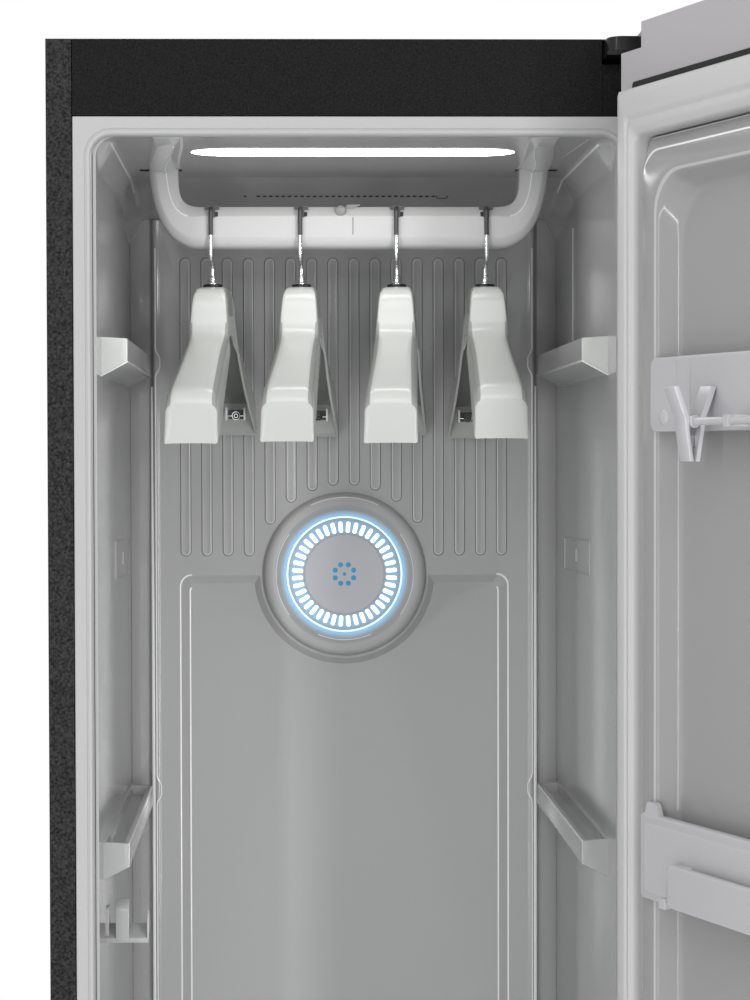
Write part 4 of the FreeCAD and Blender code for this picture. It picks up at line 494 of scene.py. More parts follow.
def turned(bm, profile, centre, axis="Y", steps=96, material=0, closed=False):
    """Spin a profile of (radius, depth along the axis) once round an axis through the centre."""
    before = set(bm.faces)
    spots = []
    for radius, depth in profile:
        spots.append(centre + (Vector((radius, depth, 0)) if axis == "Y" else Vector((radius, 0, depth))))
    edges = ring(bm, spots, closed)
    verts = list(dict.fromkeys(vert for edge in edges for vert in edge.verts))
    way = (0, 1, 0) if axis == "Y" else (0, 0, 1)
    bmesh.ops.spin(bm, geom=edges + verts, cent=centre, axis=way, angle=math.tau, steps=steps,
                   use_merge=True)
    for face in bm.faces:
        if face not in before:
            face.material_index = material


def block(bm, low, high, material=0):
    """A rectangular block between two corners."""
    made = bmesh.ops.create_cube(bm, size=1.0)["verts"]
    low, high = Vector(low), Vector(high)
    bmesh.ops.scale(bm, vec=high - low, verts=made)
    bmesh.ops.translate(bm, vec=(high + low) / 2, verts=made)
    for face in {face for vert in made for face in vert.link_faces}:
        face.material_index = material


def soften(bm, width, sharper):
    """Bevel the edges that are sharper than an angle."""
    edges = [edge for edge in bm.edges if len(edge.link_faces) == 2
             and edge.calc_face_angle(0.0) > math.radians(sharper)]
    bmesh.ops.bevel(bm, geom=edges, offset=width, offset_type="OFFSET", affect="EDGES",
                    segments=2, profile=0.5, material=-1, clamp_overlap=True)


def tube_along(bm, points, radius, sides=14, material=0):
    """A round bar along points, closed at both ends."""
    loops = []
    side = None
    for i, point in enumerate(points):
        ahead = points[min(i + 1, len(points) - 1)] - points[max(i - 1, 0)]
        ahead.normalize()
        if side is None:
            side = ahead.orthogonal().normalized()
        side = (side - ahead * side.dot(ahead)).normalized()
        up = ahead.cross(side)
        turns = [math.tau * j / sides for j in range(sides)]
        loops.append([point + (side * math.cos(turn) + up * math.sin(turn)) * radius for turn in turns])
    join_rings(bm, loops, material=material)


def finish_piece(bm, name, finishes, body, hides=(), place=None, smooth=32.0):
    """Turn a mesh drawn in millimetres into a named piece that rides on its body."""
    bmesh.ops.remove_doubles(bm, verts=bm.verts, dist=0.0005)
    bmesh.ops.recalc_face_normals(bm, faces=bm.faces)
    if place is not None:
        bmesh.ops.transform(bm, matrix=place, verts=bm.verts)
    bmesh.ops.scale(bm, vec=(MM, MM, MM), verts=bm.verts)
    mesh = bpy.data.meshes.new(name)
    bm.to_mesh(mesh)
    bm.free()
    for finish in finishes:
        mesh.materials.append(FINISHES[finish])
    mesh.shade_smooth()
    mesh.set_sharp_from_angle(angle=math.radians(smooth))
    piece = bpy.data.objects.new(name, mesh)
    bpy.context.scene.collection.objects.link(piece)
    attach(piece, body)
    if hides:
        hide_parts(*hides)
    return piece


class PieceOperator:
    """What every operator of this add-on shares: it runs once and can be undone."""

    bl_options = {"REGISTER", "UNDO"}


# ---------------------------------------------------------------- case


class CABINET_OT_finishes(PieceOperator, bpy.types.Operator):
    """Make the finishes and put them on the frame's own nodes"""

    bl_idname = "cabinet.finishes"
    bl_label = "Finishes"

    def execute(self, context):
        build_finishes()
        worn = {
            "charcoal_paint": ("side_panel_left", "side_panel_right", "top_panel"),
            "zinc_sheet": ("back_panel", "base_pan"),
            "grained_black": ("front_band", "control_box"),
            "smooth_black": ("hinge_brackets", "power_inlet", "front_foot_left", "front_foot_right"),
            "cabin_moulding": ("cabin_floor", "tank_bay"),
            "rail_moulding": ("rail_carriages", "shaft_blocks", "crank"),
            "bright_steel": ("hinge_pins", "rail_shaft", "cover_screws", "shaker_motor"),
            "brass": ("hinge_bushings",),
            "foot_rubber": ("rear_feet",),
            "back_glass": ("door_front",),
            "door_metal": ("door_shell",),
            "tank_smoke": ("supply_tank", "drain_tank"),
            "filter_frame": ("lint_filter",),
            "black_enamel": ("compressor",),
            "fin_metal": ("heat_exchangers",),
            "heat_plastic": ("steam_generator", "blower_housing", "blower_wheel"),
            "circuit_board": ("light_boards",),
            "hook_finish": ("hook_1", "hook_2", "hook_3", "hook_4"),
        }
        for finish, nodes in worn.items():
            for node in nodes:
                for holder in frame["nodes"][node].material_slots:
                    holder.material = FINISHES[finish]
        return {"FINISHED"}


class CABINET_OT_front_frame(PieceOperator, bpy.types.Operator):
    """The satin frame round the cabin's mouth and round the tanks"""

    bl_idname = "cabinet.front_frame"
    bl_label = "Front frame"

    def execute(self, context):
        sizes = context.scene.cabinet_sizes
        bead, radius = sizes.frame_bead / MM, sizes.mouth_radius / MM
        back = CASE_HIGH.y
        sill, mouth_drop, foot_corner = FLOOR_TOP - 26.8, 8.0, 4.0
        half = CABIN_HALF + 3.5

        def frame_edge(low, high):
            """The outside of a frame as wide as the case, slightly rounded to its front."""
            chamfer, corner = 0.8, 1.2
            left, right = CASE_LOW.x, CASE_HIGH.x
            edge = round_rectangle(left, right, low, high, corner, ARC)
            inner = round_rectangle(left + chamfer, right - chamfer, low + chamfer, high - chamfer,
                                    corner, ARC)
            return [upright(edge, back), upright(edge, FRONT + chamfer), upright(inner, FRONT)]

        rows = [(bead, 0.0), (bead - 0.6, 0.15), (bead - 1.0, 0.9), (bead - 1.5, 1.3), (bead - 2.3, 1.3),
                (bead - 2.7, 0.9), (bead - 3.2, 0.7), (bead - 4.6, 0.8), (bead - 5.8, 1.6),
                (bead - 6.8, 3.2), (0.0, 5.6), (0.0, back - FRONT)]
        loops = frame_edge(sill, CASE_HIGH.z)
        for inset, y in rows:
            radii = (foot_corner + inset,) * 2 + (radius + inset,) * 2
            mouth = round_rectangle(-half - inset, half + inset, FLOOR_TOP - mouth_drop - inset,
                                    CEILING + inset, radii, ARC)
            loops.append(upright(mouth, FRONT + y))
        bm = bmesh.new()
        closed_tube(bm, loops)
        finish_piece(bm, "front_frame", ["frame_satin"], "case", ["opening_trim"])

        bay_half, bay_low, bay_high, bay_corner = 232.5, 64.0, 399.0, 5.0
        rows = [(4.0, 0.0), (3.2, 0.2), (2.4, 1.0), (1.0, 1.4), (0.0, 3.0), (0.0, back - FRONT)]
        bm = bmesh.new()
        closed_tube(bm, frame_edge(CASE_LOW.z, sill) + [
            upright(round_rectangle(-bay_half - inset, bay_half + inset, bay_low - inset, bay_high + inset,
                                    bay_corner + inset, ARC), FRONT + y) for inset, y in rows])
        finish_piece(bm, "tank_frame", ["frame_satin"], "case")
        return {"FINISHED"}


# ---------------------------------------------------------------- cabin


def ceiling_height(y):
    """Height of the ceiling at a depth: level in front, then sloping down to the duct cover."""
    slope_start, slope_end = FRONT + 300.0, DUCT_FRONT
    fall = DUCT_HIGH.z - CEILING
    along = min(max((y - slope_start) / (slope_end - slope_start), 0.0), 1.0)
    return CEILING + fall * along


class CABINET_OT_cabin_shell(PieceOperator, bpy.types.Operator):
    """The moulded walls, the ceiling with its sloped rear and the rear wall"""

    bl_idname = "cabinet.cabin_shell"
    bl_label = "Cabin shell"

    def execute(self, context):
        sizes = context.scene.cabinet_sizes
        slant, mouth = sizes.corner_slant / MM, sizes.mouth_radius / MM
        half, outside = CABIN_HALF, CABIN_HALF + WALL
        bottom = ROOM_LOW.z
        near, far = ROOM_LOW.y, ROOM_HIGH.y - WALL
        slot_low, slot_high = -25.0, -11.0
        slot_in, slot_out, slot_depth = 180.5, 226.5, 2.4
        across = [-slot_out, -205.0, -slot_in, -120.0, -60.0, 0.0, 60.0, 120.0, slot_in, 205.0, slot_out]
        corner_end = near + 24.0
        depths = [near, near + 3, near + 12, corner_end, -200.0, -140.0, -90.0, slot_low, slot_high,
                  20.0, 34.0, 38.0, 42.0, 47.0, 80.0, 120.0, 160.0, 176.0, 182.0, far]
        slanted = [(0.0, -1.25), (0.0, -1.08), (0.02, -0.96), (0.07, -0.86), (0.14, -0.75), (0.42, -0.24),
                   (0.47, -0.16), (0.52, -0.09), (0.58, -0.04), (0.66, -0.01)]

        def corner(y):
            """Points from the wall up to the ceiling: round at the mouth, slanted behind it."""
            blend = min(max((y - near - 3) / 21.0, 0.0), 1.0)
            points = []
            for i, (a, b) in enumerate(slanted):
                turn = math.radians(90 * i / (len(slanted) - 1))
                round_a, round_b = mouth * (1 - math.cos(turn)), -mouth * (1 - math.sin(turn))
                points.append((a * slant * blend + round_a * (1 - blend),
                               b * slant * blend + round_b * (1 - blend)))
            return points

        def section(y):
            top = ceiling_height(y)
            left = [(-half, bottom), (-half, 1100.0), (-half, 1500.0)]
            left += [(-half + a, top + b) for a, b in corner(y)]
            right = [(-x, z) for x, z in reversed(left)]
            outer = [(outside, bottom), (outside, CEILING_HIGH.z),
                     (-outside, CEILING_HIGH.z), (-outside, bottom)]
            return upright(left + [(x, top) for x in across] + right + outer, y)

        bm = bmesh.new()
        join_rings(bm, [section(y) for y in depths])
        bmesh.ops.recalc_face_normals(bm, faces=bm.faces)
        crease_x, crease_drop, crease_end = half - 0.495 * slant, 0.125 * slant, 72.0
        # Ceiling slots: their inset faces take the near-black finish, painted shade in place of the dark of
        # the openings.
        slots = []
        for face in bm.faces:
            middle = face.calc_center_median()
            if (slot_low < middle.y < slot_high and slot_in < abs(middle.x) < slot_out
                    and abs(middle.z - CEILING) < 0.5):
                face.material_index = 1
                slots.append(face)
        bmesh.ops.inset_region(bm, faces=slots, thickness=0.0, depth=-slot_depth)
        # A thin band along each slanted corner's upper crease takes the pale finish: a painted highlight.
        for face in bm.faces:
            middle = face.calc_center_median()
            if (abs(abs(middle.x) - crease_x) < 0.4 and near + 22.0 < middle.y < crease_end
                    and abs(middle.z - ceiling_height(middle.y) + crease_drop) < 0.9):
                face.material_index = 2
        block(bm, (-outside, far, bottom), (outside, ROOM_HIGH.y, CEILING_HIGH.z))
        finish_piece(bm, "cabin_shell", ["cabin_moulding", "painted_gap_shade", "white_and_painted_highlight"], "case",
                     ["liner", "ceiling"], smooth=42.0)

        bm = bmesh.new()
        wall, mark_half, bead = half - 0.4, 7.0, 0.85
        left_plate = [(-38.0, 1466.0), (172.0, 1461.0), (134.0, 1421.0), (-40.0, 1426.0)]
        right_plate = [(-80.0, 1467.0), (112.0, 1463.0), (112.0, 1427.0), (-80.0, 1431.0)]
        for side, outline, mark in ((-1, left_plate, 62.0), (1, right_plate, 20.0)):
            corners = [Vector((side * wall, a, b)) for a, b in outline]
            for start, end in zip(corners, corners[1:] + corners[:1]):
                tube_along(bm, [start, end], bead, 8)
            middle = sum((b for a, b in outline), 0.0) / len(outline)
            tube_along(bm, [Vector((side * wall, mark, middle + mark_half)),
                            Vector((side * wall, mark, middle - mark_half))], 1.0, 8)
        crease = [(195.1, -247.0), (207.4, -175.0), (217.8, -118.0), (220.0, -124.0), (223.6, -175.0),
                  (229.0, -240.0)]
        tube_along(bm, [Vector((x, y, CEILING - 0.1)) for x, y in crease], 0.8, 8)
        tube_along(bm, [Vector((wall, 48.0, z)) for z in (1812.0, 1770.0, 1682.0)], 1.0, 8)
        finish_piece(bm, "wall_marks", ["cabin_moulding"], "case", smooth=60.0)
        return {"FINISHED"}


def ledge_reach(along):
    """How far a ledge stands out from the wall at a distance from its front end."""
    lean = max((along - (LEDGE_LENGTH - LEDGE_TIP)) / LEDGE_TIP, 0.0)
    return LEDGE_REACH - LEDGE_TIP + math.sqrt(max(1.0 - lean * lean, 0.0)) * LEDGE_TIP


class CABINET_OT_shelf_ledges(PieceOperator, bpy.types.Operator):
    """Four moulded ledges: solid ones above, open trays below"""

    bl_idname = "cabinet.shelf_ledges"
    bl_label = "Shelf ledges"

    def execute(self, context):
        near, length, tip = LEDGE_NEAR, LEDGE_LENGTH, LEDGE_TIP
        face, root, edge = LEDGE_FACE, LEDGE_ROOT, 1.6
        well_end = length - tip - 5.4
        stations = [0.0, 0.5, 1.8, 3.2, 4.4, 60.0, 180.0, 300.0, well_end - 0.6, well_end + 0.6]
        stations += [length - tip + tip * math.sin(math.radians(a)) for a in (0, 25, 45, 62, 76, 86)]
        inner_edge = CABIN_HALF + 0.6 - LEDGE_REACH
        for name, well in (("upper_ledges", 0.0), ("lower_ledges", 10.0)):
            top = LEDGE_TOPS[name]
            bm = bmesh.new()
            for side in (-1, 1):
                wall = side * (CABIN_HALF + 0.6)

                def section(along):
                    crop = edge - math.sqrt(max(edge ** 2 - (edge - min(along, edge)) ** 2, 0.0))
                    out = ledge_reach(along) - crop
                    crest = top - crop
                    sink = well if 4.0 < along < well_end else 0.0
                    points = [(0.0, crest), (3.4, crest), (4.0, crest - sink),
                              (out - 6.0, crest - 1.2 - sink), (out - 5.4, crest - 1.2),
                              (out - edge, crest - 1.5),
                              (out - edge * 0.3, crest - 1.5 - edge * 0.3), (out, crest - 1.5 - edge),
                              (out, top - face + edge), (out - edge * 0.3, top - face + edge * 0.3),
                              (out - edge, top - face - 0.6 + crop), (0.0, top - root + crop)]
                    return [Vector((wall - side * a, near + along, b)) for a, b in points]

                made = join_rings(bm, [section(along) for along in stations])
                bmesh.ops.recalc_face_normals(bm, faces=bm.faces)
                # Upper ledges' forward faces get a paler finish, painted light; the lower inner edges and
                # the trays' inner rims get painted highlight lines.
                for part in made:
                    middle = part.calc_center_median()
                    inner = abs(middle.x) < inner_edge + edge
                    if well == 0.0 and part.normal.y < -0.6:
                        part.material_index = 1
                    elif inner and top - face - 1.0 < middle.z < top - face + edge * 0.7:
                        part.material_index = 2
                    elif well > 0.0 and inner and middle.z > top - 3.0:
                        part.material_index = 2
            finish_piece(bm, name, ["cabin_moulding", "ledge_front_painted_light", "dim_painted_highlight"], "case",
                         smooth=40.0)

        # Pale tubes along the ledges' lower inner edges and the trays' rims: painted highlight lines.
        bm = bmesh.new()
        upper, lower = LEDGE_TOPS["upper_ledges"], LEDGE_TOPS["lower_ledges"]
        under, turn, bead, fine_bead = upper - face, 9.0, 0.7, 0.5
        for side in (-1, 1):
            inner, wall, last = side * inner_edge, side * CABIN_HALF, near + length
            tube_along(bm, [Vector(spot) for spot in (
                (wall, near - 0.2, upper - root), (inner, near - 0.2, under + 0.6),
                (inner, near + 4.0, under + 0.4), (inner, last - tip, under + 0.4),
                (inner + side * turn / 3, last - 3.0, under), (inner + side * turn, last, under))], bead, 8)
            tube_along(bm, [Vector((inner + side * 0.6, y, lower - 1.8)) for y in (near + 1.0, last - tip)],
                       fine_bead, 8)
        finish_piece(bm, "ledge_beads", ["white_and_painted_highlight"], "case", smooth=60.0)
        return {"FINISHED"}


def keyhole(inset):
    """The sunk panel's outline, drawn in by an inset: the outlet's boss bites into its top edge."""
    half, top, low = 194.8 - inset, 1418.4 - inset, 494.0 + inset
    corner, boss = 14.0 - inset * 0.4, 98.8 + inset * 0.72
    boss_steps = 48
    start = math.degrees(math.asin((top - OUTLET.z) / boss))
    points = corner_arc(-half + corner, low + corner, corner, 180, 6)
    points += corner_arc(half - corner, low + corner, corner, 270, 6)
    points += corner_arc(half - corner, top - corner, corner, 0, ARC)
    for i in range(boss_steps + 1):
        turn = math.radians(start - (180 + 2 * start) * i / boss_steps)
        points.append((boss * math.cos(turn), OUTLET.z + boss * math.sin(turn)))
    points += corner_arc(-half + corner, top - corner, corner, 90, ARC)
    return points


class CABINET_OT_duct_panel(PieceOperator, bpy.types.Operator):
    """The duct cover: rounded flanks, a sunk panel and raised ribs"""

    bl_idname = "cabinet.duct_panel"
    bl_label = "Duct panel"

    def execute(self, context):
        sizes = context.scene.cabinet_sizes
        sink = sizes.panel_sink / MM
        low, high = DUCT_LOW.z, DUCT_HIGH.z
        bm = bmesh.new()
        rows = [(252.8, 0.0, DUCT_HIGH.y - DUCT_FRONT), (252.8, 0.0, 14.0), (247.0, 0.0, 11.5),
                (240.0, 0.0, 10.0), (229.6, 0.0, 8.0), (227.6, 0.0, 6.4), (226.4, 0.0, 3.4),
                (225.4, 0.0, 1.0), (224.3, 0.2, -0.3), (223.0, 0.6, -1.0), (221.4, 1.2, -1.3),
                (219.8, 1.8, -1.0), (218.4, 2.4, -0.4), (217.4, 3.0, 0.0)]
        edges = [ring(bm, upright(round_rectangle(-half, half, low, high - inset, 0.3, 3), DUCT_FRONT + y))
                 for half, inset, y in rows]
        well_rows = [(0.0, 0.0), (1.7, 0.5), (2.4, 1.0), (10.4, sink - 1.0), (11.2, sink - 0.4),
                     (12.9, sink)]
        wells = [ring(bm, upright(keyhole(inset), DUCT_FRONT + depth)) for inset, depth in well_rows]
        # The well's outer and inner step bands on the panel's upright sides take the pale finish: painted
        # highlight lines.
        painted_highlight_bands, painted_highlight_start = (0, 4), 181.0
        for chains, crests in ((edges, ()), (wells, painted_highlight_bands)):
            for number, (first, second) in enumerate(zip(chains, chains[1:])):
                for face in bmesh.ops.bridge_loops(bm, edges=first + second)["faces"]:
                    outward = abs(face.calc_center_median().x)
                    face.material_index = int(number in crests and outward > painted_highlight_start)
        flat = bmesh.ops.contextual_create(bm, geom=edges[0])["faces"]
        for outline in (edges[-1] + wells[0], wells[-1]):
            flat += [part for part in bmesh.ops.triangle_fill(bm, edges=outline, use_beauty=True,
                                                              use_dissolve=False)["geom"]
                     if isinstance(part, bmesh.types.BMFace)]
        for face in flat:
            face.material_index = 0

        # Pale tubes down each edge of the duct cover, bulging round the ledges' ends, and a wider one on
        # the lower flank: painted highlight lines.
        bead_x, bead_low, bead_high = 222.6, 452.0, 1803.0
        collar = [(bead_x, -7.0), (221.6, -3.0), (219.2, 1.0), (217.6, 5.0)]
        path = [(bead_x, bead_low)]
        for low_end, high_end in ((1153.0, 1173.0), (1658.0, 1678.0)):
            path += [(x, low_end + step) for x, step in collar]
            path += [(x, high_end - step) for x, step in reversed(collar)]
        path.append((bead_x, bead_high))
        flank_path = [(bead_low, 0.0), (1180.0, 0.0), (1400.0, 1.2), (1640.0, 4.0)]
        for side in (-1, 1):
            tube_along(bm, [Vector((side * x, DUCT_FRONT - 0.5 - (x - collar[-1][0]) * 0.1, z))
                            for x, z in path], 0.95, 10, material=1)
            tube_along(bm, [Vector((side * 226.4, DUCT_FRONT + 1.0 + sunk, z)) for z, sunk in flank_path],
                       2.1, 12, material=1)
        finish_piece(bm, "duct_panel", ["cabin_moulding", "white_and_painted_highlight"], "case",
                     ["duct_cover"], smooth=24.0)

        bm = bmesh.new()
        half_rib, height = sizes.rib_width / MM / 2, sizes.rib_height / MM
        shift, lowest, highest, clearance = 0.5, 1439.8, 1791.4, 105.8
        rows = [(-0.8, -0.3), (-0.2, 0.1), (0.5, 0.6), (1.2, 0.93), (2.0, 1.0), (2.8, 0.9),
                (half_rib - 0.6, 0.8)]
        for i in range(sizes.rib_count):
            x = (i - (sizes.rib_count - 1) / 2) * sizes.rib_pitch / MM - shift
            clear = clearance ** 2 - x * x
            foot = max(lowest, OUTLET.z + math.sqrt(clear) if clear > 0 else 0.0)
            # Each rib's outermost bands take a darker finish, painted shade, and the next bands a paler
            # one, painted highlight.
            join_rings(bm, [upright(capsule(x, foot + inset, highest - inset, half_rib - inset),
                                    DUCT_FRONT - height * part) for inset, part in rows],
                       bands={0: 2, 1: 2, 2: 1, 3: 1})
        finish_piece(bm, "duct_ribs", ["cabin_moulding", "dim_painted_highlight", "rib_painted_shade"], "case",
                     smooth=40.0)
        return {"FINISHED"}


class CABINET_OT_round_outlet(PieceOperator, bpy.types.Operator):
    """The round outlet: domed ring, lit slots, middle disc and its dots"""

    bl_idname = "cabinet.round_outlet"
    bl_label = "Round outlet"

    def execute(self, context):
        sizes = context.scene.cabinet_sizes
        fine_steps = 128
        bm = bmesh.new()
        turned(bm, [(68.6, 6.0), (68.6, -1.6), (69.6, -2.4), (73.5, -3.6), (77.6, -6.4), (80.4, -9.2),
                    (82.6, -10.4), (86.0, -10.9), (89.6, -10.5), (92.2, -9.3), (94.6, -6.6), (96.0, -3.0),
                    (97.0, 0.4), (97.6, 1.2), (98.4, 1.2), (98.6, 6.0)],
               OUTLET, steps=fine_steps, closed=True)
        # Short pale arcs on the domed ring: painted highlights.
        painted_highlight_arcs = ((81.0, -9.6, 90, 36), (81.0, -9.6, 270, 36), (91.0, -9.9, 0, 26), (77.4, -6.3, 180, 24))
        for reach, depth, middle, half_sweep in painted_highlight_arcs:
            arc = [math.radians(middle + half_sweep * step / 10) for step in range(-10, 11)]
            sheen = [OUTLET + Vector((reach * math.sin(a), depth, reach * math.cos(a))) for a in arc]
            tube_along(bm, sheen, 0.5, 8, material=1)
        finish_piece(bm, "outlet_ring", ["bezel_painted_glow", "white_and_painted_highlight"], "case",
                     ["ring_bezel"], smooth=50.0)

        for name, profile, finish, hides in (
                ("outlet_glow", [(46.5, 3.0), (46.5, -0.6), (66.0, -0.6), (66.0, 3.0)], "outlet_glow",
                 ["ring_light_guide"]),
                ("outlet_rim", [(66.6, 2.0), (66.6, -1.0), (66.9, -1.5), (68.0, -1.5), (68.4, -1.0),
                                (68.4, 2.0)], "rim_light", ())):
            bm = bmesh.new()
            turned(bm, profile, OUTLET, steps=fine_steps, closed=True)
            finish_piece(bm, name, [finish], "case", hides)

        bm = bmesh.new()
        turned(bm, [(0.0, -0.5), (30.0, -0.6), (44.0, -0.9), (46.4, -0.7), (46.8, 0.0), (46.8, 2.0),
                    (0.0, 2.0)], OUTLET, steps=96)
        finish_piece(bm, "outlet_disc", ["disc_moulding"], "case", ["ring_cap"])

        bm = bmesh.new()
        slot_half, slot_start, slot_end, slot_corner = 2.35, 49.3, 62.2, 1.9
        for i in range(sizes.slot_count):
            turn = Matrix.Rotation(math.tau * (i + 0.5) / sizes.slot_count, 4, "Y")
            loops = []
            for inset, depth in ((0.0, 0.4), (0.0, -0.9), (0.5, -1.15)):
                flat = round_rectangle(-slot_half + inset, slot_half - inset, slot_start + inset,
                                       slot_end - inset, slot_corner - inset, 3)
                loops.append([OUTLET + turn @ Vector((a, depth, b)) for a, b in flat])
            join_rings(bm, loops)
        finish_piece(bm, "outlet_lights", ["slot_light"], "case")

        bm = bmesh.new()
        dot_ring, dot_count = 11.8, 8
        spots = [(dot_ring, math.tau * (i + 0.5) / dot_count, 3.0) for i in range(dot_count)]
        for reach, around, size in spots + [(0.0, 0.0, 2.1)]:
            spot = OUTLET + Vector((reach * math.sin(around), 0, reach * math.cos(around)))
            turned(bm, [(0.0, -0.9), (size - 0.4, -0.9), (size, -0.6), (size, 0.4), (0.0, 0.4)], spot,
                   steps=20)
        finish_piece(bm, "outlet_dots", ["dot_light"], "case")
        return {"FINISHED"}


class CABINET_OT_ceiling_lamp(PieceOperator, bpy.types.Operator):
    """The long ceiling lamp, pointed at both ends, and the row of small vents behind it"""

    bl_idname = "cabinet.ceiling_lamp"
    bl_label = "Ceiling lamp"

    def execute(self, context):
        middle, half_length, half_width, taper = -150.5, 165.0, 24.5, 42.0
        end_steps = 16

        def outline(inset):
            points = []
            for side in (1, -1):
                for i in range(end_steps + 1):
                    turn = math.radians(-90 * side + 180 * i / end_steps)
                    points.append((side * (half_length - taper) + math.cos(turn) * (taper - inset),
                                   middle + math.sin(turn) * (half_width - inset)))
            return points

        bm = bmesh.new()
        join_rings(bm, [level(outline(inset), z) for inset, z in
                        ((0.0, LENS_HIGH.z), (0.0, CEILING - 0.3), (0.6, CEILING - 0.5))])
        finish_piece(bm, "ceiling_lamp", ["lamp_light"], "case", ["lamp_lens"])

        # The vents and the oval are near-black blocks and a tube at the ceiling: painted shade in place of
        # openings.
        bm = bmesh.new()
        y = FRONT + 361.0
        z = ceiling_height(y)
        first, pitch, count, half_thick = -99.5, 7.13, 29, 0.7
        vents = [(first + pitch * i, 2.0, 1.8) for i in range(count)] + [(-114.8, 1.4, 1.5)]
        for x, half_wide, half_deep in vents:
            block(bm, (x - half_wide, y - half_deep, z - half_thick),
                  (x + half_wide, y + half_deep, z + half_thick))
        oval_x, oval_bead = 110.0, 0.45
        oval = [Vector((oval_x + a, y - 1.0, z + 0.1 + b)) for b, a in capsule(0.0, -6.4, 6.4, 2.6)]
        tube_along(bm, oval + oval[:1], oval_bead, 6)
        finish_piece(bm, "ceiling_vents", ["painted_gap_shade"], "case")
        return {"FINISHED"}


# ---------------------------------------------------------------- rail, hooks and hangers


def bend_point(handles, share):
    """A point along a smooth bend drawn with four handles."""
    rest = 1.0 - share
    weights = (rest ** 3, 3 * rest * rest * share, 3 * rest * share * share, share ** 3)
    return tuple(sum(weight * handle[axis] for weight, handle in zip(weights, handles)) for axis in (0, 1))


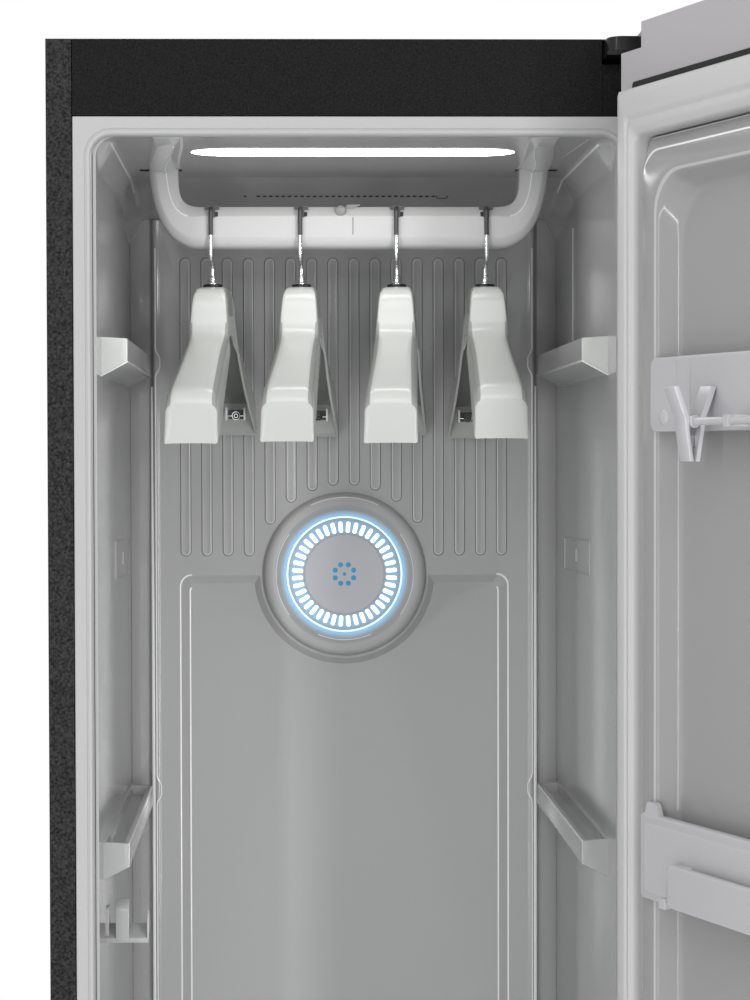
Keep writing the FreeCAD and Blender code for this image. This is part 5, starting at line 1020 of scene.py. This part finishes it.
class CABINET_OT_hanger_rail(PieceOperator, bpy.types.Operator):
    """The U-shaped hanger rail and the raised shoulders on the ceiling in front of its arms"""

    bl_idname = "cabinet.hanger_rail"
    bl_label = "Hanger rail"

    def execute(self, context):
        near, far = RAIL_LOW.y, RAIL_HIGH.y
        low, bar_top, arm_top = RAIL_LOW.z - 1.0, RAIL_LOW.z + 44.0, RAIL_HIGH.z
        arm_in, arm_out, bend_top, bend_end = 184.4, 216.0, 1862.0, 160.0
        outer_bend = ((arm_out, bend_top), (211.0, 1815.0), (196.0, low), (bend_end, low))
        inner_bend = ((arm_in, bend_top), (184.2, 1836.0), (181.0, bar_top), (bend_end, bar_top))
        arm_fold, bar_fold, bend_steps = 0.40, 0.245, 14
        stations = [((arm_in, arm_top), (arm_out, arm_top), arm_fold)]
        for i in range(bend_steps + 1):
            share = i / bend_steps
            fold = arm_fold + (bar_fold - arm_fold) * share ** 1.5
            stations.append((bend_point(inner_bend, share), bend_point(outer_bend, share), fold))
        stations += [((x, bar_top), (x, low), bar_fold) for x in (120.0, 80.0, 40.0, 0.0)]
        mirror = [((-a[0], a[1]), (-b[0], b[1]), fold) for a, b, fold in reversed(stations[:-1])]
        bm = bmesh.new()
        loops = []
        for inner, outer, fold in stations + mirror:
            section = [(0.0, far), (0.0, near + 10.0), (0.03, near + 8.2), (fold - 0.03, near + 0.9),
                       (fold, near + 0.1), (fold + 0.03, near), (0.72, near), (0.76, near + 0.35),
                       (0.84, near + 2.2), (0.92, near + 4.4), (0.96, near + 6.2), (0.985, near + 8.6),
                       (1.0, near + 12.0), (1.0, far - 2.0), (0.97, far)]
            a, b = Vector((inner[0], 0, inner[1])), Vector((outer[0], 0, outer[1]))
            loops.append([Vector((0, y, 0)) + a.lerp(b, share) for share, y in section])
        join_rings(bm, loops)
        # Pale tubes along the arms' folds: painted highlight lines.
        sheen = 0.8
        for side in (-1, 1):
            crease = [Vector((side * (a[0] + (b[0] - a[0]) * fold), near, a[1] + (b[1] - a[1]) * fold))
                      for a, b, fold in stations[1:13]]
            tube_along(bm, crease, sheen, 8, material=3)
        # At each hook, dark blocks fill the notch and the slot in the bar's front, and a near-black block
        # the hole beside it: painted shade in place of openings.
        notch_half, notch_depth, slot_half, slot_drop, hole_half, hole_step = 7.5, 3.4, 3.2, 12.5, 1.6, 4.6
        for number in HANGERS:
            x = middle_of("hook_%d" % number).x
            hole = x + (hole_step if number < HANGERS[-1] else -hole_step)
            block(bm, (x - notch_half, near + 5.0, bar_top - notch_depth),
                  (x + notch_half, far + 0.2, bar_top + 0.7), material=1)
            block(bm, (x - slot_half, near - 0.2, bar_top - slot_drop),
                  (x + slot_half, near + 10.0, bar_top - 2.0), material=1)
            block(bm, (hole - hole_half, near - 0.25, bar_top - slot_drop + 1.0),
                  (hole + hole_half, near + 10.0, bar_top - 6.5), material=2)
        finish_piece(bm, "hanger_bow", ["rail_moulding", "dark_joint_and_painted_shade", "painted_gap_shade", "white_and_painted_highlight"], "rail",
                     ["hanger_rail"], smooth=24.0)

        bm = bmesh.new()
        start, end, shoulder_steps, crest_drop = FRONT + 11.5, near - 0.8, 16, 3.4
        for side in (-1, 1):
            loops, folds = [], []
            for i in range(shoulder_steps + 1):
                along = i / shoulder_steps
                y = start * (1 - along) + end * along
                bend = along * along * (3 - 2 * along)
                outer, fold, inner = 198.0 + 18.0 * bend, 178.6 + 19.0 * bend ** 1.15, 172.0 + 12.0 * bend
                fold += 5.0 * max(0.0, 1.0 - along / 0.12)
                drop = crest_drop * min(1.0, 0.05 + along / 0.14)
                rows = [(inner - 3.0, 0.3), (inner, 0.0), (inner + 0.8, 0.3), (fold - 1.0, drop * 0.9),
                        (fold, drop), (fold + 1.0, drop), (outer - 3.0, drop * 0.96),
                        (outer - 1.0, drop * 0.6), (outer, 0.0), (outer + 2.0, -0.4), (outer + 2.0, -1.5),
                        (inner - 3.0, -1.5)]
                loops.append([Vector((side * x, y, CEILING - low_by)) for x, low_by in rows])
                folds.append(Vector((side * fold, y, CEILING - drop)))
            join_rings(bm, loops)
            # A pale tube along the fold: a painted highlight line.
            tube_along(bm, folds[3:], sheen, 8, material=1)
        finish_piece(bm, "rail_shoulders", ["rail_moulding", "white_and_painted_highlight"], "case",
                     smooth=24.0)

        bm = bmesh.new()
        knob = Vector((-9.4, near + 1.0, bar_top - 5.0))
        turned(bm, [(0.0, -2.6), (3.4, -2.4), (5.4, -1.2), (6.0, 0.3), (6.0, 4.0)], knob, steps=28)
        ramp = [(-3.0, bar_top - 4.5), (2.0, bar_top - 3.4), (7.0, bar_top - 0.4), (12.0, bar_top + 1.4),
                (12.0, bar_top + 2.4), (-3.0, bar_top + 2.0)]
        join_rings(bm, [upright(ramp, near + 7.0), upright(ramp, far - 6.0)])
        # A thin dark strip down the bar's front beside the latch.
        block(bm, (3.4, near - 0.12, bar_top - 31.0), (4.2, near + 3.0, bar_top - 12.0), material=1)
        finish_piece(bm, "rail_latch", ["latch_grey", "dark_joint_and_painted_shade"], "rail")
        return {"FINISHED"}


class CABINET_OT_hook_collars(PieceOperator, bpy.types.Operator):
    """The chromed collar and dark washer where each hook enters its hanger"""

    bl_idname = "cabinet.hook_collars"
    bl_label = "Hook collars"

    def execute(self, context):
        for number in HANGERS:
            node = "hanger_%d" % number
            middle = middle_of(node)
            spot = Vector((middle.x, middle.y, box_mm(node)[1].z))
            bm = bmesh.new()
            turned(bm, [(0.0, -3.0), (10.2, -3.0), (10.6, 1.4), (9.8, 2.6), (8.0, 3.0), (0.0, 3.0)],
                   spot, axis="Z", steps=40, material=1)
            turned(bm, [(0.0, 1.0), (7.4, 1.0), (7.2, 3.4), (5.6, 4.2), (4.0, 4.6), (3.4, 5.6),
                        (4.1, 6.4), (4.1, 7.8), (3.2, 8.4), (3.3, 9.6), (3.9, 10.6), (3.5, 11.8),
                        (2.7, 12.6), (0.0, 12.6)],
                   spot, axis="Z", steps=32)
            finish_piece(bm, "hook_collar_%d" % number, ["chrome", "smooth_black"],
                         "hook_body_%d" % number, smooth=40.0)
        return {"FINISHED"}


def hanger_outline(half, low, high, corner, lean):
    """One hanger station from low left over the top to low right, as points across and up."""
    corner = min(corner, (high - low) * 0.8)
    corner_steps = 6
    points = [(-half, low), (-half + lean * 0.4, low + (high - low) * 0.4)]
    for i in range(corner_steps + 1):
        turn = math.radians(90 * i / corner_steps)
        points.append((-half + lean + corner * (1 - math.cos(turn)), high - corner * (1 - math.sin(turn))))
    points.append((0.0, high + 0.2))
    return points + [(-x, z) for x, z in reversed(points[:-1])]


def station_at(stations, along, column):
    """A size of the hanger at a distance from its middle, between its stations."""
    for first, second in zip(stations, stations[1:]):
        if along <= second[0]:
            share = (along - first[0]) / (second[0] - first[0])
            return first[column] + (second[column] - first[column]) * share
    return stations[-1][column]


def hanger_loops(stations, top, wall, end):
    """The hanger's cross sections from end to end, hollow below except at both ends."""
    loops = []
    for way in (-1, 1):
        part = []
        for along, bottom_drop, top_drop, width, corner in stations:
            low_edge, high_edge = top - bottom_drop, top - top_drop
            lean = 1.0 + 1.6 * max(0.0, 1.0 - along / 60.0)
            roof = max(high_edge - wall, low_edge + 0.6) if along < end else low_edge + 0.3
            outside = hanger_outline(width / 2, low_edge, high_edge, corner, lean)
            inside = hanger_outline(width / 2 - wall, low_edge, roof, corner, lean)
            part.append([Vector((x, way * along, z)) for x, z in outside + inside[::-1]])
        loops = list(reversed(part)) if way < 0 else loops + part[1:]
    return loops


def skirt_clip(bm, base):
    """One skirt clip: two posts with a sprung ring between them, and a dark plate behind them painted as
    the shade of the gap.
    """
    post, height = 10.5, -2.0
    for x in (-post, post):
        block(bm, base + Vector((x - 1.1, -6.0, -7.0)), base + Vector((x + 1.1, 6.0, 7.5)))
        tube_along(bm, [base + Vector((x, 0, height)), base + Vector((x * 0.4, 0, height))], 0.8, 8,
                   material=1)
    block(bm, base + Vector((-9.0, 3.0, -6.0)), base + Vector((9.0, 5.0, 5.0)), material=2)
    for reach in (5.0, 2.6):
        turned(bm, [(reach - 0.9, -0.9), (reach, -0.9), (reach, 0.9), (reach - 0.9, 0.9)],
               base + Vector((0, 0, height)), steps=24, material=1, closed=True)


class CABINET_OT_hangers(PieceOperator, bpy.types.Operator):
    """Four moulded hangers with sloping arms and their skirt clips"""

    bl_idname = "cabinet.hangers"
    bl_label = "Hangers"

    def execute(self, context):
        sizes = context.scene.cabinet_sizes
        neck, tip = sizes.neck_width / MM, sizes.tip_width / MM
        stations = [
            (0.0, 52.0, 0.0, neck - 1.5, 7.0), (12.0, 52.5, 0.5, neck - 1.5, 7.0),
            (21.0, 55.0, 2.0, neck - 1.5, 7.0), (27.0, 58.5, 5.0, neck - 1.2, 7.0),
            (31.0, 61.5, 10.0, neck - 0.8, 6.0), (33.5, 63.8, 18.0, neck, 5.0),
            (35.3, 65.5, 28.0, neck + 1.4, 5.0), (37.2, 67.2, 38.0, neck + 3.0, 6.0),
            (39.6, 69.5, 46.0, neck + 4.2, 8.0), (43.0, 72.5, 51.5, neck + 4.9, 9.0),
            (48.0, 76.5, 55.0, neck + 5.2, 9.5), (56.0, 82.5, 58.5, neck + 5.4, 10.0),
            (76.0, 97.0, 66.5, neck + 6.0, 11.0), (100.0, 113.0, 76.8, neck + 7.2, 11.5),
            (125.0, 129.0, 88.0, neck + 9.0, 11.5), (150.0, 143.5, 99.0, neck + 11.0, 11.5),
            (160.0, 149.0, 103.4, tip - 0.7, 11.5), (165.0, 151.5, 105.6, tip - 0.4, 11.5),
            (169.9, 154.0, 107.8, tip - 0.2, 11.5), (174.6, 156.2, 110.6, tip - 0.1, 11.5),
            (178.0, 158.0, 113.8, tip, 11.5), (180.5, 159.3, 117.6, tip, 11.0),
            (182.0, 160.0, 121.1, tip, 11.0), (182.9, 160.5, 124.8, tip, 10.5),
            (184.0, 161.0, 132.0, tip, 10.0), (185.9, 162.2, 142.0, tip - 0.2, 9.0),
            (187.2, 163.4, 152.5, tip - 0.9, 7.0), (187.8, 164.2, 158.8, tip - 2.0, 4.0),
            (188.0, 164.8, 162.8, tip - 3.6, 1.6),
        ]
        wall, end = 2.4, 183.0
        turns, tilts = (-5.2, -5.2, -5.2, -0.5), (1.8, 1.3, 1.8, 0.5)
        clip_side, clip_along, clip_drop = 6.0, 160.0, 139.0
        for number, turn, tilt in zip(HANGERS, turns, tilts):
            node, body = "hanger_%d" % number, "hanger_body_%d" % number
            middle, top = middle_of(node), box_mm(node)[1].z
            pivot = Matrix.Translation((0, 0, top))
            tilted = pivot @ Matrix.Rotation(math.radians(tilt), 4, "X") @ pivot.inverted()
            place = (Matrix.Translation((middle.x, middle.y, 0))
                     @ Matrix.Rotation(math.radians(turn), 4, "Z") @ tilted)
            bm = bmesh.new()
            # The hollow underside's inner faces get a half-tone finish, painted shade, and the end faces a
            # slightly darker one, painted shade too.
            for face in join_rings(bm, hanger_loops(stations, top, wall, end)):
                spot = face.calc_center_median()
                along = abs(spot.y)
                if (along < end and abs(spot.x) < station_at(stations, along, 3) / 2 - wall * 0.6
                        and spot.z < top - station_at(stations, along, 2) - wall * 0.6):
                    face.material_index = 1
                elif along > end:
                    face.material_index = 2
            finish_piece(bm, "hanger_body_shell_%d" % number,
                         ["hanger_moulding", "hanger_inside", "hanger_end"], body,
                         [node], place=place, smooth=62.0)

            bm = bmesh.new()
            out = clip_side if number < HANGERS[-1] else -clip_side
            for way in (-1, 1):
                skirt_clip(bm, Vector((way * out, way * clip_along, top - clip_drop)))
            # The posts wear the pale finish, their own white partly standing in for painted highlights; the
            # plate behind them is painted shade.
            finish_piece(bm, "skirt_clips_%d" % number, ["white_and_painted_highlight", "chrome", "dark_joint_and_painted_shade"], body,
                         place=place)
        return {"FINISHED"}


class CABINET_OT_accessory_hook(PieceOperator, bpy.types.Operator):
    """The small hook for belts and scarves on the left wall"""

    bl_idname = "cabinet.accessory_hook"
    bl_label = "Accessory hook"

    def execute(self, context):
        low, high = box_mm("accessory_hook")
        left, right, front, rear = low.x - 1.0, high.x - 3.0, low.y, high.y
        prong_middle, prong_half, cheek_wide = -237.0, 6.8, 2.2
        shelf = [(front, low.z + 1.5), (front, low.z + 6.0), (front + 3.0, low.z + 7.5),
                 (rear, low.z + 17.0), (rear, low.z + 12.0)]
        cheek = [(front, low.z + 3.0), (front, low.z + 24.0), (front + 4.0, low.z + 31.0),
                 (front + 8.0, low.z + 34.0), (rear, low.z + 22.0), (rear, low.z + 14.0)]
        prong = [(front - 0.5, low.z + 3.0), (front - 0.5, low.z + 34.0), (front + 1.5, low.z + 38.0),
                 (front + 11.0, low.z + 44.0), (front + 11.0, low.z + 3.0)]
        bm = bmesh.new()
        join_rings(bm, [sideways(shelf, x) for x in (left, right)])
        join_rings(bm, [sideways(cheek, x) for x in (right - cheek_wide, right)])
        block(bm, (left, front + 4.0, low.z + 6.0), (left + 3.0, rear, high.z - 4.0))
        join_rings(bm, [sideways(prong, x) for x in (prong_middle - prong_half, prong_middle + prong_half)])
        soften(bm, 0.8, 40.0)
        finish_piece(bm, "belt_hook", ["cap_moulding"], "case", ["accessory_hook"])
        return {"FINISHED"}


# ---------------------------------------------------------------- door


def door_ring(half, low, high, y, corner):
    """A rounded rectangle on the shut door, as a loop at one depth."""
    return upright(round_rectangle(DOOR_MIDDLE - half, DOOR_MIDDLE + half, low, high, corner, 8), y)


class CABINET_OT_door_panel(PieceOperator, bpy.types.Operator):
    """The door's moulded inner panel: a raised dyke round a shallow well"""

    bl_idname = "cabinet.door_panel"
    bl_label = "Door panel"

    def execute(self, context):
        half, low, high = 247.0, 81.0, 1849.0
        flange_half, flange_low, flange_high = 262.0, 66.0, 1880.0
        flange_rear, flange_face = 27.4, 30.8
        rows = [(0.6, 31.0, 8), (0.6, 36.0, 8), (3.0, 40.0, 11), (13.5, 50.5, 22), (15.5, 52.6, 24),
                (17.5, 53.9, 26), (20.0, 54.45, 28), (36.0, 54.45, 36), (38.6, 54.0, 38), (40.6, 52.4, 40),
                (42.0, 50.0, 41), (49.5, 39.6, 46), (51.0, 37.4, 47), (53.2, 36.2, 49), (56.0, 35.9, 50)]
        bm = bmesh.new()
        loops = [door_ring(flange_half, flange_low, flange_high, y, 4) for y in (flange_rear, flange_face)]
        loops.append(door_ring(half, low, high, flange_face, 8))
        loops += [door_ring(half - inset, low + inset, high - inset, y, corner)
                  for inset, y, corner in rows]
        # Bands 4 and 7 take the pale finish and band 10 a dimmer one: painted highlight lines round the
        # dyke.
        join_rings(bm, loops, bands={4: 1, 7: 1, 10: 2})
        finish_piece(bm, "door_panel", ["door_moulding", "white_and_painted_highlight", "soft_painted_highlight"], "door",
                     ["door_liner"], place=DOOR_PLACE, smooth=30.0)
        return {"FINISHED"}


class CABINET_OT_door_seal(PieceOperator, bpy.types.Operator):
    """The soft seal with its flat face and double inner lip"""

    bl_idname = "cabinet.door_seal"
    bl_label = "Door seal"

    def execute(self, context):
        width = context.scene.cabinet_sizes.seal_width / MM
        half, low, high, corner = 278.0, 50.0, 1896.0, 2.0
        rise, fall, corner_growth = 30.0, 46.0, 5.0
        rows = [(0.0, 31.3), (0.0, 46.0), (0.03, 49.5), (0.10, 51.6), (0.20, 52.6), (0.52, 53.8),
                (0.58, 53.6), (0.62, 52.0), (0.66, 51.6), (0.70, 52.6), (0.76, 53.9), (0.83, 53.9),
                (0.88, 52.4), (0.93, 51.4), (0.97, 50.0), (1.0, 46.0), (1.0, 31.3)]
        bm = bmesh.new()
        closed_tube(bm, [door_ring(half - width * share, low + rise * share, high - fall * share, y,
                                   corner + corner_growth * share) for share, y in rows])
        finish_piece(bm, "door_seal", ["seal_rubber"], "door", ["door_gasket"],
                     place=DOOR_PLACE, smooth=38.0)

        # A near-black ring behind the seal's outer edge: painted shadow of the gap between seal and door.
        bm = bmesh.new()
        inner, outer = (277.0, 52.0, 1894.0), (280.5, 46.0, 1906.0)
        rear, face = 31.0, 31.6
        closed_tube(bm, [door_ring(*edge, y, 3.0) for edge, y in
                         ((inner, rear), (inner, face), (outer, face), (outer, rear))])
        finish_piece(bm, "seal_gap_painted_shadow", ["painted_gap_shade"], "door", place=DOOR_PLACE)
        return {"FINISHED"}


def clip_half_shape(facing):
    """One clip half from the side: points in depth and height about the rod."""
    outline = [(21.0, 30.0), (16.6, 30.4), (5.4, 3.4), (5.6, -7.0), (1.0, -33.2), (1.4, -34.2),
               (4.8, -34.2), (9.6, -6.0), (10.4, 3.0), (14.0, 10.0), (21.4, 28.6)]
    return [(CLIP_ROD_Y + facing * a, CLIP_ROD_Z + b) for a, b in outline]


class CABINET_OT_trouser_clips(PieceOperator, bpy.types.Operator):
    """The clip holder on the door with its rod and two sprung clips"""

    bl_idname = "cabinet.trouser_clips"
    bl_label = "Trouser clips"

    def execute(self, context):
        low, high, half = 1578.0, 1645.0, 210.0
        face, rod_radius, rod_reach, bracket_at = PANEL_CREST + 5.0, 3.5, 128.0, 60.0
        bm = bmesh.new()
        join_rings(bm, [door_ring(half - inset, low + inset, high - inset, PANEL_CREST + rise, 9.0 - inset)
                        for inset, rise in ((0.0, 0.0), (0.0, 3.4), (0.7, 4.8), (2.2, 5.3))])
        for side in (-1, 1):
            for inset in (41.0, 62.0):
                x = DOOR_MIDDLE + side * (half - inset)
                block(bm, (x - 0.8, face, low + 8.0), (x + 0.8, face + 1.0, high - 4.0))
            boss = Vector((DOOR_MIDDLE + side * (half - 22.0), face, low + 13.0))
            turned(bm, [(0.0, 1.6), (4.6, 1.6), (6.4, 1.0), (7.4, 0.0), (7.4, -2.0)], boss, steps=28)
        rod = [Vector((DOOR_MIDDLE + x, CLIP_ROD_Y, CLIP_ROD_Z))
               for x in (-rod_reach, -bracket_at, bracket_at, rod_reach)]
        tube_along(bm, rod, rod_radius, 18)
        for side in (-1, 1):
            x = DOOR_MIDDLE + side * bracket_at
            block(bm, (x - 3.0, face, CLIP_ROD_Z - 5.0), (x + 3.0, CLIP_ROD_Y + 4.0, CLIP_ROD_Z + 5.0))
        finish_piece(bm, "clip_bar", ["clip_moulding"], "door", ["clip_holder"],
                     place=DOOR_PLACE, smooth=36.0)

        clip_spots, clip_half, eye_radius, eye_gap = (-116.0, 116.0), 8.0, 5.6, 0.4
        pad_forward, pad_drop, pad_half = 4.4, 19.0, Vector((3.4, 1.6, 7.0))
        for name, spots, body, facing, hides in (
                ("clip_rear", clip_spots, "door", -1, ["clip_jaws"]),
                ("clip_front_left", clip_spots[:1], "clip_left", 1, ["clip_lever_left"]),
                ("clip_front_right", clip_spots[1:], "clip_right", 1, ["clip_lever_right"])):
            bm = bmesh.new()
            shape = clip_half_shape(facing)
            for spot in spots:
                middle = DOOR_MIDDLE + spot
                left, right = middle - clip_half, middle + clip_half
                join_rings(bm, [sideways(shape, x) for x in (left, right)])
                soften(bm, 0.9, 35.0)
                start = left if facing > 0 else middle + eye_gap
                eye = [Vector((start + step, CLIP_ROD_Y, CLIP_ROD_Z)) for step in (0.0, 3.8, 7.6)]
                tube_along(bm, eye, eye_radius, 20)
                pad = Vector((middle, CLIP_ROD_Y + facing * pad_forward, CLIP_ROD_Z - pad_drop))
                block(bm, pad - pad_half, pad + pad_half, material=1)
            finish_piece(bm, name, ["clip_moulding", "chrome"], body, hides,
                         place=DOOR_PLACE)
        return {"FINISHED"}


class CABINET_OT_press_rack(PieceOperator, bpy.types.Operator):
    """The band low on the door with its fold-out press bar"""

    bl_idname = "cabinet.press_rack"
    bl_label = "Press rack"

    def execute(self, context):
        low, high, half = 1155.0, 1233.0, 224.0
        face, ear_at, ear_front, ear_low, ear_high = PANEL_CREST + 5.0, 167.3, 76.0, 1156.5, 1165.5
        bm = bmesh.new()
        for top, rows in ((high, ((0.0, 0.0), (0.0, 4.0), (0.6, 5.4), (1.8, 6.0))),
                          (high - 2.0, ((6.0, 5.8), (6.6, 6.3), (7.6, 6.4)))):
            join_rings(bm, [door_ring(half - inset, low + inset, top - inset, PANEL_CREST + rise, 4.0)
                            for inset, rise in rows])
        for side in (-1, 1):
            tab = DOOR_MIDDLE + side * (half - 18.0)
            shape = [(tab - 12.0, high - 3.0), (tab + 12.0, high - 3.0), (tab + 7.0, high + 10.0),
                     (tab + 4.0, high + 11.0), (tab - 4.0, high + 11.0), (tab - 7.0, high + 10.0)]
            join_rings(bm, [upright(shape, PANEL_CREST + rise) for rise in (0.2, 5.6)])
            ear = [(face, ear_low), (ear_front, ear_low), (ear_front, ear_high), (face, ear_high)]
            join_rings(bm, [sideways(ear, DOOR_MIDDLE + side * ear_at + step) for step in (-4.0, 4.0)])
        finish_piece(bm, "rack_band", ["clip_moulding"], "door", ["press_rack"],
                     place=DOOR_PLACE, smooth=36.0)

        bm = bmesh.new()
        plate_half, plate_low, plate_high = 163.0, 1158.0, 1197.0
        foot_inner, foot_low, foot_high = 141.0, 1169.5, 1196.5
        pin_reach, pin_y, pin_z, pin_radius = 170.0, 71.0, 1161.0, 1.8
        join_rings(bm, [door_ring(plate_half - inset, plate_low + inset, plate_high - inset, y, 5.0)
                        for inset, y in ((1.0, 68.5), (0.0, 69.3), (0.0, 72.2), (0.7, 73.2), (1.8, 73.5))])
        for side in (-1, 1):
            start, end = sorted(DOOR_MIDDLE + side * x for x in (plate_half, foot_inner))
            foot = round_rectangle(start, end, foot_low, foot_high, 3.0, 4)
            join_rings(bm, [upright(foot, y) for y in (61.2, 69.0)])
        pins = [Vector((DOOR_MIDDLE + x, pin_y, pin_z)) for x in (-pin_reach, pin_reach)]
        tube_along(bm, pins, pin_radius, 14)
        finish_piece(bm, "press_plate", ["clip_moulding"], "press_bar_body", ["press_bar"],
                     place=DOOR_PLACE, smooth=36.0)
        return {"FINISHED"}


class CABINET_OT_hinge_cap(PieceOperator, bpy.types.Operator):
    """The smooth black cap over the upper hinge"""

    bl_idname = "cabinet.hinge_cap"
    bl_label = "Hinge cap"

    def execute(self, context):
        low, high = box_mm("hinge_cover")
        corner, corner_y, knuckle = 13.0, -270.0, 15.9
        points = [(low.x, high.y)] + corner_arc(low.x + corner, corner_y, corner, 180, 6)
        points.append((HINGE.x - 15.3, corner_y - corner))
        for angle in range(170, 421, 10):
            turn = math.radians(angle)
            points.append((HINGE.x + knuckle * math.cos(turn), HINGE.y + knuckle * math.sin(turn)))
        points.append((HINGE.x + 8.0, high.y))
        bm = bmesh.new()
        centre = Vector((sum(a for a, b in points) / len(points), sum(b for a, b in points) / len(points)))
        rows = [(0.0, low.z), (0.0, high.z - 1.6), (0.012, high.z - 0.4), (0.03, high.z)]
        join_rings(bm, [level([(a + (centre.x - a) * share, b + (centre.y - b) * share)
                               for a, b in points], z) for share, z in rows])
        finish_piece(bm, "hinge_cap", ["smooth_black"], "case", ["hinge_cover"])
        return {"FINISHED"}


# ---------------------------------------------------------------- stage


class CABINET_OT_stage(PieceOperator, bpy.types.Operator):
    """Floor, soft lights and the camera"""

    bl_idname = "cabinet.stage"
    bl_label = "Stage"

    def execute(self, context):
        scene = context.scene
        self.lay_floor(scene)
        self.hang_lights(scene)
        self.place_camera(scene)
        scene.view_settings.view_transform = "Standard"
        return {"FINISHED"}

    def lay_floor(self, scene):
        """A round plain floor with a faint cloud in its tone."""
        floor_radius, floor_roughness = 3.1, 0.7
        bm = bmesh.new()
        bmesh.ops.create_circle(bm, cap_ends=True, segments=96, radius=floor_radius)
        mesh = bpy.data.meshes.new("floor")
        bm.to_mesh(mesh)
        bm.free()
        floor = bpy.data.objects.new("floor", mesh)
        scene.collection.objects.link(floor)
        ground, tree, shader = blank_material("plain_floor")
        place = add_node(tree, "ShaderNodeTexCoord")
        cloud = add_node(tree, "ShaderNodeTexNoise", {"Vector": place.outputs["Object"], "Scale": 3.0})
        tone = add_node(tree, "ShaderNodeMapRange", {"Value": cloud.outputs["Fac"],
                                                     "To Min": 0.98, "To Max": 1.0})
        shade = add_node(tree, "ShaderNodeVectorMath", {0: tuple(scene.cabinet_colours.floor)},
                         operation="SCALE")
        tree.links.new(tone.outputs["Result"], shade.inputs["Scale"])
        tree.links.new(shade.outputs[0], shader.inputs["Base Color"])
        shader.inputs["Roughness"].default_value = floor_roughness
        mesh.materials.append(ground)

    def hang_lights(self, scene):
        """A white backdrop that lights the room softly, and three soft lights."""
        stage = scene.cabinet_stage
        world = bpy.data.worlds.new("studio")
        world.use_nodes = True
        scene.world = world
        tree = world.node_tree
        tree.nodes.clear()
        ray = add_node(tree, "ShaderNodeLightPath")
        seen = math_node(tree, "MAXIMUM", ray.outputs["Is Camera Ray"], ray.outputs["Is Transmission Ray"])
        lit = add_node(tree, "ShaderNodeBackground", {"Color": (0.97, 0.985, 1.0, 1),
                                                      "Strength": stage.room})
        white = add_node(tree, "ShaderNodeBackground", {"Color": (1, 1, 1, 1), "Strength": 1.0})
        pick = add_node(tree, "ShaderNodeMixShader", {"Fac": seen, 1: lit.outputs[0], 2: white.outputs[0]})
        add_node(tree, "ShaderNodeOutputWorld", {"Surface": pick.outputs[0]})

        for name, at, aim, size, power in (
                ("high_light", (-0.25, -3.5, 3.6), (0.0, 0.0, 1.2), (1.9, 1.0), stage.key),
                ("left_light", (-1.4, -3.0, 1.4), (0.0, 0.0, 1.4), (0.12, 2.4), stage.left),
                ("right_light", (1.5, -3.0, 1.4), (0.0, 0.0, 1.4), (0.12, 2.4), stage.right)):
            lamp = bpy.data.lights.new(name, "AREA")
            lamp.shape = "RECTANGLE"
            lamp.size, lamp.size_y = size
            lamp.energy = power
            holder = bpy.data.objects.new(name, lamp)
            holder.location = at
            holder.rotation_euler = (Vector(aim) - Vector(at)).to_track_quat("-Z", "Y").to_euler()
            scene.collection.objects.link(holder)

    def place_camera(self, scene):
        """The camera stands in front, a little left of the middle, nearly level."""
        spot, pan, tip, roll = (-0.07242, -2.261, 1.55658), -1.134, 90.0 - 1.194, -0.156
        lens = bpy.data.cameras.new("camera")
        lens.lens = scene.cabinet_stage.lens
        lens.sensor_width = 36.0
        lens.shift_x = 0.0511
        lens.clip_end = 50.0
        camera = bpy.data.objects.new("camera", lens)
        turn = (Matrix.Rotation(math.radians(pan), 4, "Z")
                @ Matrix.Rotation(math.radians(tip), 4, "X")
                @ Matrix.Rotation(math.radians(roll), 4, "Z"))
        camera.matrix_world = Matrix.Translation(spot) @ turn
        scene.collection.objects.link(camera)
        scene.camera = camera


class CABINET_PT_sidebar(bpy.types.Panel):
    """Lists the pieces and their settings"""

    bl_idname = "CABINET_PT_sidebar"
    bl_label = "Clothes Care Cabinet"
    bl_space_type = "VIEW_3D"
    bl_region_type = "UI"
    bl_category = "Cabinet"

    def draw(self, context):
        for settings in (context.scene.cabinet_colours, context.scene.cabinet_sizes,
                         context.scene.cabinet_stage):
            column = self.layout.column()
            for name in settings.__annotations__:
                column.prop(settings, name)
        for operator in OPERATORS:
            self.layout.operator(operator.bl_idname)


OPERATORS = (
    CABINET_OT_finishes, CABINET_OT_stage, CABINET_OT_front_frame, CABINET_OT_cabin_shell,
    CABINET_OT_shelf_ledges, CABINET_OT_duct_panel, CABINET_OT_round_outlet, CABINET_OT_ceiling_lamp,
    CABINET_OT_hanger_rail, CABINET_OT_hook_collars, CABINET_OT_hangers, CABINET_OT_accessory_hook,
    CABINET_OT_door_panel, CABINET_OT_door_seal, CABINET_OT_trouser_clips, CABINET_OT_press_rack,
    CABINET_OT_hinge_cap,
)
SETTINGS = (("cabinet_colours", CabinetColours), ("cabinet_sizes", CabinetSizes),
            ("cabinet_stage", CabinetStage))


def register():
    for name, group in SETTINGS:
        bpy.utils.register_class(group)
        setattr(bpy.types.Scene, name, PointerProperty(type=group))
    for operator in OPERATORS:
        bpy.utils.register_class(operator)
    bpy.utils.register_class(CABINET_PT_sidebar)


def unregister():
    bpy.utils.unregister_class(CABINET_PT_sidebar)
    for operator in reversed(OPERATORS):
        bpy.utils.unregister_class(operator)
    for name, group in reversed(SETTINGS):
        delattr(bpy.types.Scene, name)
        bpy.utils.unregister_class(group)


def main():
    register()
    for operator in OPERATORS:
        area, call = operator.bl_idname.split(".")
        getattr(getattr(bpy.ops, area), call)()


if __name__ == "__main__":
    main()
